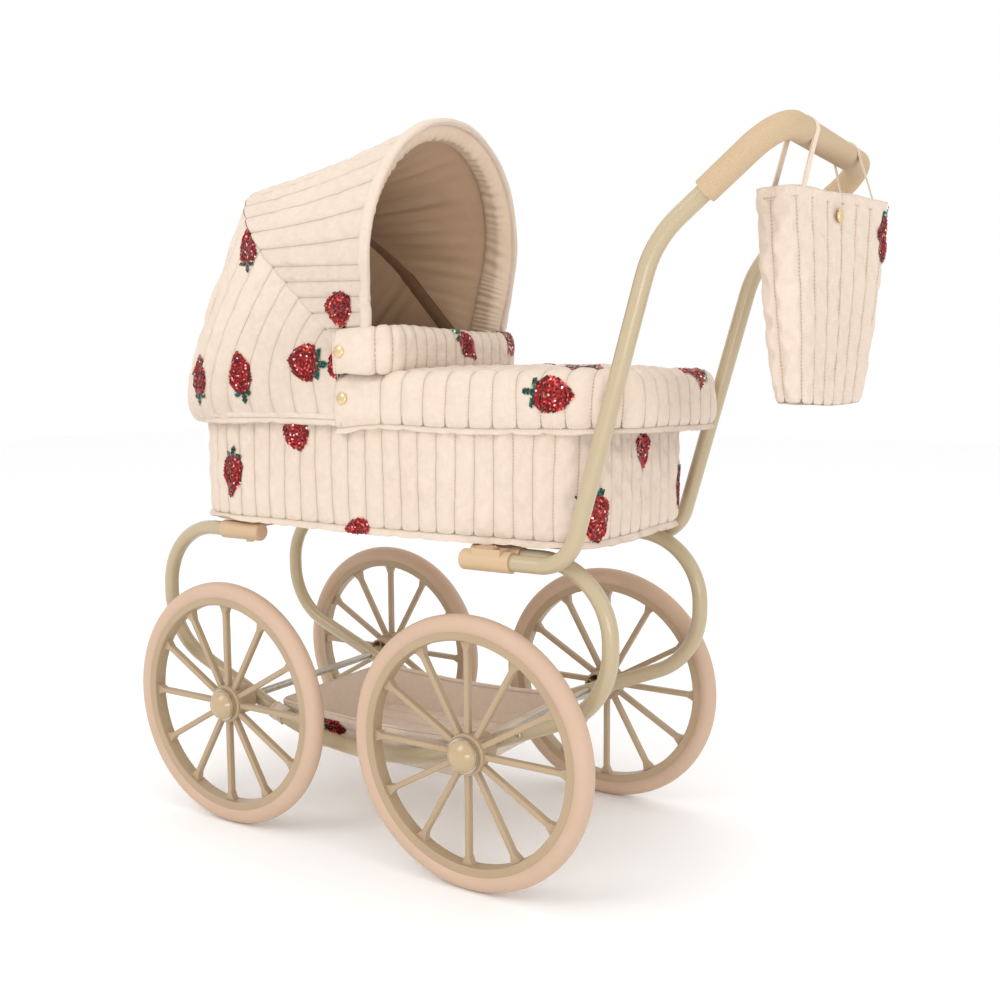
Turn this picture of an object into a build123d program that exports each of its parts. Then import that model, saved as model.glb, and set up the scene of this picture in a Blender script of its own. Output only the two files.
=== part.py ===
"""Doll's pram: sprung tube chassis, four spoked wheels, quilted carrycot, folding hood, basket and bag.

Millimetres, +X forward (the hood end), +Y to the left, +Z up.  The model is laid out about the middle
of the wheelbase and moved at the end so that its origin is the bottom centre of its bounding box.
"""
from build123d import *
from math import cos, sin, tan, radians, sqrt, atan2, degrees
import os

# ---- driving dimensions -------------------------------------------------------------------------
wheel_diameter = 250.0
wheelbase = 295.2
track = 272.0                    # between the tyres' middle planes
tyre_section = 18.6
tyre_seat = 6.6                  # how deep the tyre sits in the rim
rim_depth = 9.5
rim_width = 14.5
rim_round = 1.3
spoke_count = 12
spoke_width = 5.5
spoke_depth = 7.0
spoke_round = 1.5
spoke_flare = 3.4                # extra half width where a spoke meets the rim
spoke_flare_length = 7.0
hub_flange_diameter = 38.0
hub_flange_width = 12.0
hub_barrel_diameter = 30.0
hub_barrel_wall = 2.2
hub_barrel_length = 23.8         # inboard, from the wheel's middle plane
hub_sleeve_diameter = 13.0
hub_boss = 8.0                   # outboard, from the wheel's middle plane
hub_rib_count = 6
hub_rib = 1.6
axle_diameter = 8.0
axle_past_hub = 7.0              # end of the axle past the hub's outer face
washer_diameter = 32.0
washer_thickness = 1.0
cap_diameter = 29.0
cap_skirt = 3.0
cap_dome = 7.5
running_clearance = 0.05         # radial, shaft in hole
seat_clearance = 0.3             # between pieces that lie on each other
fixed_clearance = 0.1            # radial, tube in a fixed socket

tube_diameter = 15.0
tube_wall = 1.25
tube_spacing = 198.0             # between the left and right spring planes
bow_slope = 22.5                 # degrees, of the lower bow's ends
bow_radius = 320.0
seam_from_axle = 32.0            # along the tube, where the spring joins the bow
plug_length = 40.0
button_from_seam = 5.0
button_diameter = 6.0
button_proud = 1.8
button_travel = 2.5
spring_reach = 268.5             # foremost and rearmost centreline of the C springs
spring_top_radius = 68.0
spring_low_radius = 72.0
spring_tail = 66.0               # straight stretch at the top, in the clamp

clamp_wall = 2.0
cot_seat = 0.4                   # cot above the clamps
clamp_length = 52.0
clamp_end_wall = 4.0
clamp_lug_width = 26.0
crossmember_width = 22.0
crossmember_height = 7.0
tab_length = 19.0
tab_width = 10.0
tab_height = 3.0
tab_travel = 6.0
tab_rib = 1.0
tab_rail = 2.0

handle_gap = 2.7                 # between the handle tube and the spring beside it
handle_socket_drop = 3.0         # below the spring in the same clamp
handle_rise = (-237.1, 312.2)    # x of the low bend, distance back of the upper bend
handle_upper_bend_height = 560.8
handle_bar = (-412.0, 641.0)
handle_radii = (36.0, 85.0, 30.0)
grip_diameter = 21.0
grip_start_height = 594.5

cot_bottom = 308.4
cot_height = 110.0
cot_half_width = 107.0
cot_rear = -250.0
cot_front = 257.0
cot_rear_corner = 32.0
cot_wall = 7.0
cot_skin = 2.0
board_thickness = 4.0
mattress_thickness = 20.0
rim_rod = 6.0

hood_pivot = (5.0, 478.0)
hood_cloth = 5.0
bow_rod = 6.0
bow_clear = 1.5                  # between a bow and the cloth over it
hem_angle = 96.3
hem_reach = 31.6                 # the opening's hem stands this far forward of the hinge
front_arch = (cot_half_width + 20.0, 102.0, 5.0)   # radius, centre distance, lean
front_bow_angle = 101.0
front_bow_arch = (cot_half_width + 17.5, 101.5, 5.0)
mid_bow_angle = 46.0
mid_arch = (cot_half_width + 13.0, 130.0, 4.0)
mid_bow_arch = (cot_half_width + 13.0, 130.0, 4.8)
low_edge_angle = -6.0
low_arch = (cot_half_width + 15.0, 162.0, 2.0)
hood_leg_start = 33.0
hood_skirt_bottom = 412.0
pivot_pin_diameter = 5.0
bow_eye_diameter = 12.0
bow_eye_width = 4.0
bracket_thickness = 3.0
bracket_width = 26.0
pin_head = 2.0

apron_skirt_cloth = 2.9
apron_rear = -286.0
apron_front = 14.0
apron_top_front = -14.0
apron_bottom = 407.0
apron_top = 461.0
apron_corner = 38.0
apron_cloth = 5.0
apron_edge_round = 14.0
cuff_stand = 8.2                 # cuff past the apron's side
cuff_rear = -50.0
cuff_top = 502.0
cuff_depth = 14.0
cuff_wing = 3.6
cuff_corner = 24.0
snap_diameter = 12.0
snap_thickness = 2.2
side_snap_x = 4.0
cuff_snap_height = 480.0
apron_snap_height = 436.0

basket_hang = 36.5               # floor below the bow where the loops hold it
basket_depth = 46.0
basket_floor = (196.0, 156.0)
basket_mouth = (252.0, 177.0)
basket_cloth = 2.5
basket_loop_x = 112.0
basket_loop_width = 16.0
basket_loop_cloth = 1.6
basket_snap_drop = 14.0
basket_snap_y = 65.0
basket_snap_gap = 0.8

bag_bottom = 433.0
bag_top = 600.0
bag_floor = (28.0, 98.0)
bag_mouth_width = 150.0
bag_strap_room = 1.0             # between a strap and the bag's wall
bag_cloth = 3.5
bag_centre_y = 5.0
bag_strap_spacing = 120.0
bag_strap_width = 7.0
bag_strap_cloth = 1.2
bag_strap_overlap = 12.0
bag_snap_drop = 18.0

# ---- sizes that follow from the ones above ------------------------------------------------------
clamp_diameter = tube_diameter + 2 * clamp_wall
spring_top = cot_bottom - cot_seat - clamp_diameter / 2
handle_socket_height = spring_top - handle_socket_drop
handle_y = tube_spacing / 2 + tube_diameter + handle_gap
apron_half_width = cot_half_width + seat_clearance + apron_skirt_cloth
cuff_half_width = apron_half_width + cuff_stand

sides = {"left": 1, "right": -1}
ends = {"front": 1, "rear": -1}
nodes = {}


# ---- shared shapes ------------------------------------------------------------------------------
def swept_tube(path, outer, wall=None):
    """A round tube, or a solid rod when no wall is given, along a path."""
    section = Circle(outer / 2)
    if wall is not None:
        section -= Circle(outer / 2 - wall)
    return sweep(Plane(origin=path @ 0, z_dir=path % 0) * section, path=path)


def cylinder_y(radius, y_from, y_to, x, z):
    """A cylinder along Y between two places."""
    length = abs(y_to - y_from)
    return Pos(x, (y_from + y_to) / 2, z) * Rot(90, 0, 0) * Cylinder(radius, length)


def cylinder_x(radius, x_from, x_to, y, z):
    """A cylinder along X between two places."""
    length = abs(x_to - x_from)
    return Pos((x_from + x_to) / 2, y, z) * Rot(0, 90, 0) * Cylinder(radius, length)


def block(x_span, y_span, z_span):
    """A box from its three spans."""
    spans = (x_span, y_span, z_span)
    centre = [(low + high) / 2 for low, high in spans]
    return Pos(*centre) * Box(*[abs(high - low) for low, high in spans])


# ---- wheels: axis along Z, the outer side up, centre at the origin ------------------------------
wheel_radius = wheel_diameter / 2
tyre_centre_radius = wheel_radius - tyre_section / 2
rim_outer = wheel_radius - tyre_section + tyre_seat - 1.5
rim_inner = rim_outer - rim_depth
hub_bore_radius = axle_diameter / 2 + running_clearance


def make_tyre():
    return Torus(tyre_centre_radius, tyre_section / 2)


def make_spoke():
    half = spoke_width / 2
    flare_from = rim_inner - spoke_flare_length
    with BuildLine() as outline:
        Polyline((0, -half), (flare_from, -half), (rim_inner + 1, -half - spoke_flare),
                 (rim_inner + 1, half + spoke_flare), (flare_from, half), (0, half), close=True)
    spoke = Pos(0, 0, -spoke_depth / 2) * extrude(make_face(outline.line), spoke_depth)
    long_edges = spoke.edges().filter_by(Axis.X).filter_by(lambda edge: edge.length > wheel_radius / 3)
    return fillet(long_edges, spoke_round)


def make_wheel():
    """Rim, spokes and hub: one moulding."""
    rim = Cylinder(rim_outer, rim_width) - Cylinder(rim_inner, rim_width)
    rim = fillet(rim.edges().filter_by(GeomType.CIRCLE).group_by(SortBy.RADIUS)[0], rim_round)
    rim -= Torus(tyre_centre_radius, tyre_section / 2 + running_clearance)
    spokes = [Rot(0, 0, number * 360 / spoke_count) * make_spoke() for number in range(spoke_count)]
    flange = Cylinder(hub_flange_diameter / 2, hub_flange_width)
    flange = fillet(flange.edges().filter_by(GeomType.CIRCLE), rim_round)
    boss = Cylinder(hub_barrel_diameter / 2, hub_boss, align=(Align.CENTER, Align.CENTER, Align.MIN))
    down = (Align.CENTER, Align.CENTER, Align.MAX)
    barrel = Cylinder(hub_barrel_diameter / 2, hub_barrel_length, align=down)
    hollow_top = -hub_flange_width / 2
    hollow_length = hub_barrel_length - hub_flange_width / 2
    barrel -= Pos(0, 0, hollow_top) * Cylinder(hub_barrel_diameter / 2 - hub_barrel_wall, hollow_length, align=down)
    sleeve = Cylinder(hub_sleeve_diameter / 2, hub_barrel_length, align=down)
    rib_reach = hub_barrel_diameter / 2 - hub_barrel_wall / 2
    rib = Pos(rib_reach / 2, 0, hollow_top - hollow_length / 2) * Box(rib_reach, hub_rib, hollow_length - 2)
    ribs = [Rot(0, 0, (number + 0.5) * 360 / hub_rib_count) * rib for number in range(hub_rib_count)]
    wheel = rim
    for piece in spokes + [flange, boss, barrel, sleeve] + ribs:
        wheel += piece
    return wheel - Cylinder(hub_bore_radius, wheel_radius)


def make_cap():
    """Domed push-on cap that keeps the wheel on its axle."""
    radius = cap_diameter / 2
    dome_radius = (radius ** 2 + cap_dome ** 2) / (2 * cap_dome)
    with BuildLine() as outline:
        Polyline((0, 0), (radius, 0), (radius, cap_skirt))
        RadiusArc((radius, cap_skirt), (0, cap_skirt + cap_dome), -dome_radius)
        Line((0, cap_skirt + cap_dome), (0, 0))
    return revolve(Plane.XZ * make_face(outline.line), Axis.Z)


def at_wheel(shape, end, side, offset=0.0):
    """Puts a piece made about the wheel's axis at one of the four wheels."""
    turn = Rot(-90, 0, 0) if side > 0 else Rot(90, 0, 0)
    return Pos(end * wheelbase / 2, side * track / 2, wheel_radius) * turn * Pos(0, 0, offset) * shape


axle_end = hub_boss + axle_past_hub
washer_at = hub_boss + seat_clearance
cap_at = washer_at + washer_thickness
tyre, wheel = make_tyre(), make_wheel()
washer = Cylinder(washer_diameter / 2, washer_thickness, align=(Align.CENTER, Align.CENTER, Align.MIN))
washer -= Cylinder(axle_diameter / 2, wheel_radius)
cap = make_cap()
cap -= Cylinder(axle_diameter / 2, 2 * (axle_end - cap_at))
corners = [(end_name, end, side_name, side) for end_name, end in ends.items() for side_name, side in sides.items()]
for end_name, end, side_name, side in corners:
    nodes[f"wheel_{end_name}_{side_name}"] = at_wheel(wheel, end, side)
    nodes[f"tyre_{end_name}_{side_name}"] = at_wheel(tyre, end, side)
nodes["axle_washers"] = Compound([at_wheel(washer, end, side, washer_at) for _, end, _, side in corners])
nodes["hub_caps"] = Compound([at_wheel(cap, end, side, cap_at) for _, end, _, side in corners])
for end_name, end in ends.items():
    reach = track / 2 + axle_end
    nodes[f"{end_name}_axle"] = cylinder_y(axle_diameter / 2, -reach, reach, end * wheelbase / 2, wheel_radius)

# ---- lower bows, C springs, plugs and snap buttons ----------------------------------------------
slope = radians(bow_slope)
axle_x = wheelbase / 2
bow_corner_height = wheel_radius - axle_x * tan(slope)
seam_x = axle_x + seam_from_axle * cos(slope)
seam_z = wheel_radius + seam_from_axle * sin(slope)
bow_centre_height = bow_corner_height + bow_radius / cos(slope)


def line_height(x):
    """Height of the straight end of the bow, and of the spring's foot that carries it on."""
    return wheel_radius + (x - axle_x) * tan(slope)


def bow_height(x):
    """Height of the round middle stretch of the bow."""
    return bow_centre_height - sqrt(bow_radius ** 2 - x ** 2)


bow_path = FilletPolyline((-seam_x, 0, seam_z), (0, 0, bow_corner_height), (seam_x, 0, seam_z), radius=bow_radius)
spring_path = FilletPolyline(
    (spring_reach - spring_top_radius - spring_tail, 0, spring_top),
    (spring_reach, 0, spring_top),
    (spring_reach, 0, line_height(spring_reach)),
    (seam_x, 0, seam_z),
    radius=[spring_top_radius, spring_low_radius],
)
bow = swept_tube(bow_path, tube_diameter, tube_wall)
bow_envelope = swept_tube(bow_path, tube_diameter + 2 * fixed_clearance)
spring = swept_tube(spring_path, tube_diameter, tube_wall)
for end in (1, -1):
    bow -= cylinder_y(axle_diameter / 2, -tube_diameter, tube_diameter, end * axle_x, wheel_radius)
plug_bore = tube_diameter / 2 - tube_wall - running_clearance
button_x = seam_x + button_from_seam * cos(slope)
button_z = seam_z + button_from_seam * sin(slope)
button_hole = button_diameter / 2 + running_clearance
plug = Pos(seam_x, 0, seam_z) * Rot(0, 90 - bow_slope, 0) * Cylinder(plug_bore, plug_length)
plug -= cylinder_y(button_hole, -tube_diameter, tube_diameter, button_x, button_z)
button_depth = sqrt((plug_bore - seat_clearance) ** 2 - (button_diameter / 2) ** 2)
button_root = button_travel - button_depth
button_tip = tube_diameter / 2 + button_proud
button = cylinder_y(button_diameter / 2, button_root, button_tip, button_x, button_z)
button = fillet(button.edges().filter_by(GeomType.CIRCLE).sort_by(Axis.Y)[-1], button_proud * 0.8)
spring -= cylinder_y(button_hole, 0, tube_diameter, button_x, button_z)
spacer_reach = track / 2 - hub_barrel_length - 0.1
spacer_ring = cylinder_y(tube_diameter / 2, tube_spacing / 2, spacer_reach, axle_x, wheel_radius)
spacer_ring -= cylinder_y(axle_diameter / 2, 0, track, axle_x, wheel_radius)
spacer_ring -= Pos(0, tube_spacing / 2, 0) * bow_envelope


def to_corner(shape, end, side):
    """Mirrors a piece made for the front left corner to another corner."""
    if end < 0:
        shape = mirror(shape, about=Plane.YZ)
    if side < 0:
        shape = mirror(shape, about=Plane.XZ)
    return shape


for side_name, side in sides.items():
    nodes[f"lower_bow_{side_name}"] = Pos(0, side * tube_spacing / 2, 0) * bow
for end_name, end, side_name, side in corners:
    on_left = Pos(0, tube_spacing / 2, 0)
    nodes[f"spring_{end_name}_{side_name}"] = to_corner(on_left * spring, end, side)
    nodes[f"snap_button_{end_name}_{side_name}"] = to_corner(on_left * button, end, side)
nodes["spring_plugs"] = Compound([to_corner(on_left * plug, end, side) for _, end, _, side in corners])
nodes["axle_spacers"] = Compound([to_corner(spacer_ring, end, side) for _, end, _, side in corners])

# ---- clamps between springs, handle and cot; the two cross members ------------------------------
clamp_inner = spring_reach - spring_top_radius - spring_tail
clamp_closed = clamp_inner - clamp_end_wall
clamp_open = clamp_closed + clamp_length
lug_from = tube_spacing / 2 - clamp_diameter
lug_middle = (clamp_closed + clamp_open) / 2
clamp_top = spring_top + clamp_diameter / 2


def clamp_barrel(y, z):
    barrel = cylinder_x(clamp_diameter / 2, clamp_closed, clamp_open, y, z)
    return fillet(barrel.edges().filter_by(GeomType.CIRCLE).sort_by(Axis.X)[0], clamp_end_wall * 0.7)


def socket(y, z):
    """The bore that a tube end sits in, closed at the clamp's inner end."""
    return cylinder_x(tube_diameter / 2 + fixed_clearance, clamp_inner, clamp_open + 1, y, z)


def clamp_lug():
    x_span = (lug_middle - clamp_lug_width / 2, lug_middle + clamp_lug_width / 2)
    return block(x_span, (lug_from, tube_spacing / 2), (clamp_top - crossmember_height - 2, clamp_top))


def front_clamp():
    clamp = clamp_barrel(tube_spacing / 2, spring_top) + clamp_lug()
    nub_x = clamp_closed + clamp_length / 3
    clamp += Pos(nub_x, tube_spacing / 2, spring_top - clamp_diameter / 2) * Cylinder(4.0, 3.0)
    return clamp - socket(tube_spacing / 2, spring_top)


tab_x = lug_middle
tab_base = handle_socket_height + clamp_diameter / 2
tab_floor = tab_base - 1.0
rail_outer = tab_width / 2 + tab_rail
tab_y = handle_y + 1.0


def rear_clamp():
    """Twin barrel: spring inside, handle outside, with rails on top for the release tab."""
    clamp = clamp_barrel(tube_spacing / 2, spring_top) + clamp_barrel(handle_y, handle_socket_height) + clamp_lug()
    rail_x = (tab_x - tab_length / 2 - 2, tab_x + tab_length / 2 + tab_travel + 2)
    rail_top = tab_floor + tab_height
    clamp += block(rail_x, (tab_y - rail_outer, tab_y + rail_outer), (handle_socket_height, rail_top))
    slot_x = (tab_x - tab_length / 2 - seat_clearance, tab_x + tab_length / 2 + tab_travel + seat_clearance)
    slot_y = (tab_y - tab_width / 2 - seat_clearance, tab_y + tab_width / 2 + seat_clearance)
    clamp -= block(slot_x, slot_y, (tab_floor, rail_top + 1))
    clamp -= socket(tube_spacing / 2, spring_top)
    return clamp - socket(handle_y, handle_socket_height)


def release_tab():
    tab_bottom = tab_floor + 0.1
    tab_top = tab_floor + tab_height + 1.2
    tab = block((tab_x - tab_length / 2, tab_x + tab_length / 2), (tab_y - tab_width / 2, tab_y + tab_width / 2),
                (tab_bottom, tab_top))
    tab = fillet(tab.edges().filter_by(Axis.Z), 2.0)
    for number in range(-2, 3):
        rib_x = tab_x + number * 3.2
        tab += Pos(rib_x, tab_y, tab_top) * Rot(90, 0, 0) * Cylinder(tab_rib, tab_width - 2)
    return tab


for side_name, side in sides.items():
    nodes[f"front_clamp_{side_name}"] = to_corner(front_clamp(), 1, side)
    nodes[f"rear_clamp_{side_name}"] = to_corner(rear_clamp(), -1, side)
    nodes[f"release_tab_{side_name}"] = to_corner(release_tab(), -1, side)
for end_name, end in ends.items():
    x_low = end * lug_middle - crossmember_width / 2
    bar = block((x_low, x_low + crossmember_width), (-lug_from, lug_from), (clamp_top - crossmember_height, clamp_top))
    nodes[f"{end_name}_crossmember"] = fillet(bar.edges().filter_by(Axis.Y), 1.5)

# ---- push handle and its foam grip --------------------------------------------------------------
low_bend = (handle_rise[0], handle_socket_height)
high_bend = (-handle_rise[1], handle_upper_bend_height)
arm_run = (handle_bar[0] - high_bend[0], handle_bar[1] - high_bend[1])
grip_x = high_bend[0] + arm_run[0] * (grip_start_height - high_bend[1]) / arm_run[1]


def handle_points(y, start):
    points = [(-clamp_inner, y, low_bend[1]), (low_bend[0], y, low_bend[1]), (high_bend[0], y, high_bend[1]),
              (handle_bar[0], y, handle_bar[1])]
    return points if start else points[::-1]


handle_path = FilletPolyline(
    *handle_points(handle_y, True), *handle_points(-handle_y, False),
    radius=list(handle_radii) + list(handle_radii)[::-1],
)
grip_path = FilletPolyline(
    (grip_x, handle_y, grip_start_height), (handle_bar[0], handle_y, handle_bar[1]),
    (handle_bar[0], -handle_y, handle_bar[1]), (grip_x, -handle_y, grip_start_height),
    radius=handle_radii[2],
)
nodes["handle_tube"] = swept_tube(handle_path, tube_diameter, tube_wall)
grip_wall = (grip_diameter - tube_diameter) / 2 - fixed_clearance
nodes["handle_grip"] = swept_tube(grip_path, grip_diameter, grip_wall)


# ---- carrycot -----------------------------------------------------------------------------------
def cot_outline(inset):
    """Plan of the cot: round at the hood end, a rounded square at the handle end."""
    half = cot_half_width - inset
    round_centre = cot_front - cot_half_width
    corner = max(cot_rear_corner - inset, 2.0)
    rear = cot_rear + inset
    with BuildLine() as outline:
        Line((round_centre, -half), (rear + corner, -half))
        RadiusArc((rear + corner, -half), (rear, -half + corner), corner)
        Line((rear, -half + corner), (rear, half - corner))
        RadiusArc((rear, half - corner), (rear + corner, half), corner)
        Line((rear + corner, half), (round_centre, half))
        ThreePointArc((round_centre, half), (round_centre + half, 0), (round_centre, -half))
    return outline.line


def cot_slab(inset, z_from, z_to):
    return extrude(Pos(0, 0, z_from) * make_face(cot_outline(inset)), z_to - z_from)


cot_top = cot_bottom + cot_height
board_bottom = cot_bottom + cot_skin
board_top = board_bottom + board_thickness
mattress_bottom = board_top + seat_clearance
mattress_top = mattress_bottom + mattress_thickness
rod_inset = cot_wall / 2
rim_height = cot_top + rim_rod / 2
nodes["cot_shell"] = cot_slab(0, cot_bottom, cot_top) - cot_slab(cot_wall, board_bottom, cot_top + 1)
nodes["cot_base_board"] = cot_slab(cot_wall + seat_clearance, board_bottom, board_top)
mattress = cot_slab(cot_wall + 1.5, mattress_bottom, mattress_top)
nodes["mattress"] = fillet(mattress.edges().group_by(Axis.Z)[-1], 6.0)
rim_path = Pos(0, 0, rim_height) * cot_outline(rod_inset)
nodes["cot_rim_frame"] = swept_tube(rim_path, rim_rod)

# ---- hood: hinge brackets, two bows and the cloth over them -------------------------------------
pivot_x, pivot_z = hood_pivot


def hood_plane(angle):
    """Plane through the hinge axis: its x runs across the pram, its y away from the hinge."""
    turn = radians(angle)
    return Plane(origin=(pivot_x, 0, pivot_z), x_dir=(0, 1, 0), z_dir=(sin(turn), 0, -cos(turn)))


def arch_points(radius, centre, lean, start):
    """Half width at the leg's start, and the point where the leg runs into the round."""
    turn = radians(lean)
    touch = (radius * cos(turn), centre - radius * sin(turn))
    foot = touch[0] - (touch[1] - start) * tan(turn)
    return foot, touch


def arch_face(radius, centre, lean, start):
    foot, touch = arch_points(radius, centre, lean, start)
    with BuildLine() as outline:
        Line((foot, start), touch)
        ThreePointArc(touch, (0, centre + radius), (-touch[0], touch[1]))
        Line((-touch[0], touch[1]), (-foot, start))
        Line((-foot, start), (foot, start))
    return make_face(outline.line)


def cloth_between(first, second):
    """Cloth between two arches, each a (plane, (radius, centre, lean)), open at both and below."""
    solids = []
    for inset, start in ((0, hood_leg_start), (hood_cloth, hood_leg_start - 6)):
        faces = [plane * arch_face(arch[0] - inset, arch[1], arch[2], start) for plane, arch in (first, second)]
        solids.append(loft(faces, ruled=True))
    return solids[0] - solids[1]


def bow_wire(arch):
    radius = arch[0] - hood_cloth - bow_clear - bow_rod / 2
    foot, touch = arch_points(radius, arch[1], arch[2], bow_eye_diameter / 2 - 1)
    with BuildLine() as outline:
        Line((foot, bow_eye_diameter / 2 - 1), touch)
        ThreePointArc(touch, (0, arch[1] + radius), (-touch[0], touch[1]))
        Line((-touch[0], touch[1]), (-foot, bow_eye_diameter / 2 - 1))
    return outline.line, arch_points(radius, arch[1], arch[2], 0)[0]


def make_bow(angle, arch):
    """A round steel bow with a flat eye at each foot."""
    wire, foot = bow_wire(arch)
    shape = swept_tube(hood_plane(angle) * wire, bow_rod)
    for side in (1, -1):
        y_span = (side * foot - bow_eye_width / 2, side * foot + bow_eye_width / 2)
        shape += cylinder_y(bow_eye_diameter / 2, *y_span, pivot_x, pivot_z)
    return shape - cylinder_y(pivot_pin_diameter / 2 + running_clearance, -track, track, pivot_x, pivot_z), foot


hem_plane, mid_plane, low_plane = [hood_plane(a) for a in (hem_angle, mid_bow_angle, low_edge_angle)]
hem_plane = hem_plane.offset(-hem_reach)
nodes["hood_front_bow"], front_foot = make_bow(front_bow_angle, front_bow_arch)
nodes["hood_mid_bow"], mid_foot = make_bow(mid_bow_angle, mid_bow_arch)
nodes["hood_top_cover"] = cloth_between((hem_plane, front_arch), (mid_plane, mid_arch))
skirt_half = cot_half_width + 1 + hood_cloth
skirt_centre = cot_front - cot_half_width - pivot_x
skirt_plane = Plane(origin=(pivot_x, 0, hood_skirt_bottom), x_dir=(0, 1, 0), z_dir=(0, 0, -1))
back_cover = cloth_between((mid_plane, mid_arch), (low_plane, low_arch))
back_cover += cloth_between((low_plane, low_arch), (skirt_plane, (skirt_half, skirt_centre, 0.001)))
nodes["hood_back_cover"] = back_cover

bracket_outer = mid_foot - bow_rod / 2 - 1
bracket_inner = bracket_outer - bracket_thickness
rod_y = cot_half_width - rod_inset
brackets, pins = [], []
for side in (1, -1):
    x_span = (pivot_x - bracket_width / 2, pivot_x + bracket_width / 2)
    plate = block(x_span, (side * bracket_inner, side * bracket_outer), (cot_top + rim_rod / 2, pivot_z))
    plate += cylinder_y(bracket_width / 2, side * bracket_inner, side * bracket_outer, pivot_x, pivot_z)
    foot_reach = rod_y + rim_rod / 2 + 0.4
    plate += block(x_span, (side * bracket_inner, side * foot_reach), (rim_height, rim_height + rim_rod / 2 + 2))
    plate -= cylinder_x(rim_rod / 2 + fixed_clearance, x_span[0] - 1, x_span[1] + 1, side * rod_y, rim_height)
    plate -= cylinder_y(pivot_pin_diameter / 2 + 0.02, -track, track, pivot_x, pivot_z)
    brackets.append(plate)
    pin_end = front_foot + bow_eye_width / 2 + seat_clearance
    pin = cylinder_y(pivot_pin_diameter / 2, side * (bracket_inner - 1), side * pin_end, pivot_x, pivot_z)
    pin += cylinder_y(pivot_pin_diameter / 2 + 1.5, side * pin_end, side * (pin_end + pin_head), pivot_x, pivot_z)
    spacer_from = mid_foot + bow_eye_width / 2 + seat_clearance
    spacer_to = front_foot - bow_eye_width / 2 - seat_clearance
    pin += cylinder_y(pivot_pin_diameter / 2 + 1.5, side * spacer_from, side * spacer_to, pivot_x, pivot_z)
    pins.append(pin)
nodes["hood_brackets"] = Compound(brackets)
nodes["hood_pivot_pins"] = Compound(pins)


# ---- apron, cuff and their snaps ----------------------------------------------------------------
def apron_body(inset, z_from, z_to, edge):
    half = apron_half_width - inset
    corner = apron_corner - inset
    x_from, x_to = apron_rear + inset, apron_front + (1 if inset else 0)
    body = block((x_from, x_to), (-half, half), (z_from, z_to))
    body = fillet(body.edges().filter_by(Axis.Z).group_by(Axis.X)[0], corner)
    top = body.edges().group_by(Axis.Z)[-1]
    rounded = [edge_piece for edge_piece in top if edge_piece.center().X < x_to - 0.1]
    return fillet(rounded, edge)


apron = apron_body(0, apron_bottom, apron_top, apron_edge_round)
apron -= apron_body(apron_skirt_cloth, apron_bottom - 1, apron_top - apron_cloth, apron_edge_round - 2)
notch = (-cot_half_width - seat_clearance, cot_half_width + seat_clearance)
nodes["apron"] = apron - block((apron_top_front, apron_front + 5), notch, (apron_bottom - 1, apron_top + 1))
cuff_bottom = apron_top + seat_clearance
cuff = block((cuff_rear, apron_front), (-cuff_half_width, cuff_half_width), (cuff_bottom, cuff_top))
cuff = fillet(cuff.edges().filter_by(Axis.Z).group_by(Axis.X)[0], cuff_corner)
wing_inside = cuff_half_width - cuff_wing
hollow = block((cuff_rear + cuff_depth, apron_front + 1), (-wing_inside, wing_inside), (cuff_bottom - 1, cuff_top + 1))
hollow = fillet(hollow.edges().filter_by(Axis.Z).group_by(Axis.X)[0], cuff_corner - cuff_wing)
nodes["cuff"] = cuff - hollow


def snap(offset_y):
    """A press stud's cap, its flat back at the given place."""
    cap_disc = Cylinder(snap_diameter / 2, snap_thickness, align=(Align.CENTER, Align.CENTER, Align.MIN))
    cap_disc = fillet(cap_disc.edges().group_by(Axis.Z)[-1], snap_thickness * 0.6)
    return Pos(0, offset_y, 0) * Rot(-90, 0, 0) * cap_disc


cot_snaps = []
for side in (1, -1):
    for height, surface in ((cuff_snap_height, cuff_half_width), (apron_snap_height, apron_half_width)):
        disc = Pos(side_snap_x, 0, height) * snap(surface)
        cot_snaps.append(to_corner(disc, 1, side))
nodes["cot_snaps"] = Compound(cot_snaps)


# ---- basket between the lower bows --------------------------------------------------------------
def tapered(bottom, top, z_from, z_to, corner):
    faces = [Pos(0, 0, z) * RectangleRounded(*size, corner) for z, size in ((z_from, bottom), (z_to, top))]
    return loft(faces, ruled=True)


def grown(size, amount):
    return (size[0] + 2 * amount, size[1] + 2 * amount)


basket_bottom = bow_height(basket_loop_x) - basket_hang
basket_top = basket_bottom + basket_depth
basket = tapered(basket_floor, basket_mouth, basket_bottom, basket_top, 14)
basket -= tapered(grown(basket_floor, -basket_cloth), grown(basket_mouth, -basket_cloth),
                  basket_bottom + basket_cloth, basket_top + 0.01, 12)
loop_slope = degrees(atan2(basket_loop_x, sqrt(bow_radius ** 2 - basket_loop_x ** 2)))
loop_radius = tube_diameter / 2 + seat_clearance + basket_loop_cloth
for end in (1, -1):
    for side in (1, -1):
        place = Pos(end * basket_loop_x, side * tube_spacing / 2, bow_height(basket_loop_x))
        basket += place * Rot(0, 90 - end * loop_slope, 0) * Cylinder(loop_radius, basket_loop_width)
        tab_y_span = (side * (basket_mouth[1] / 2 - 4), side * (tube_spacing / 2))
        tab_z = (bow_height(basket_loop_x) - 4, bow_height(basket_loop_x) + 4)
        tab_x_span = (end * basket_loop_x - basket_loop_width / 2 + 2, end * basket_loop_x + basket_loop_width / 2 - 2)
        basket += block(tab_x_span, tab_y_span, tab_z)
basket -= tapered(grown(basket_floor, -basket_cloth), grown(basket_mouth, -basket_cloth),
                  basket_bottom + basket_cloth, basket_top + 0.01, 12)
tube_room = swept_tube(bow_path, tube_diameter + 2 * seat_clearance)
for side in (1, -1):
    basket -= Pos(0, side * tube_spacing / 2, 0) * tube_room
nodes["basket"] = basket
wall_lean = degrees(atan2((basket_mouth[0] - basket_floor[0]) / 2, basket_top - basket_bottom))
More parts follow.
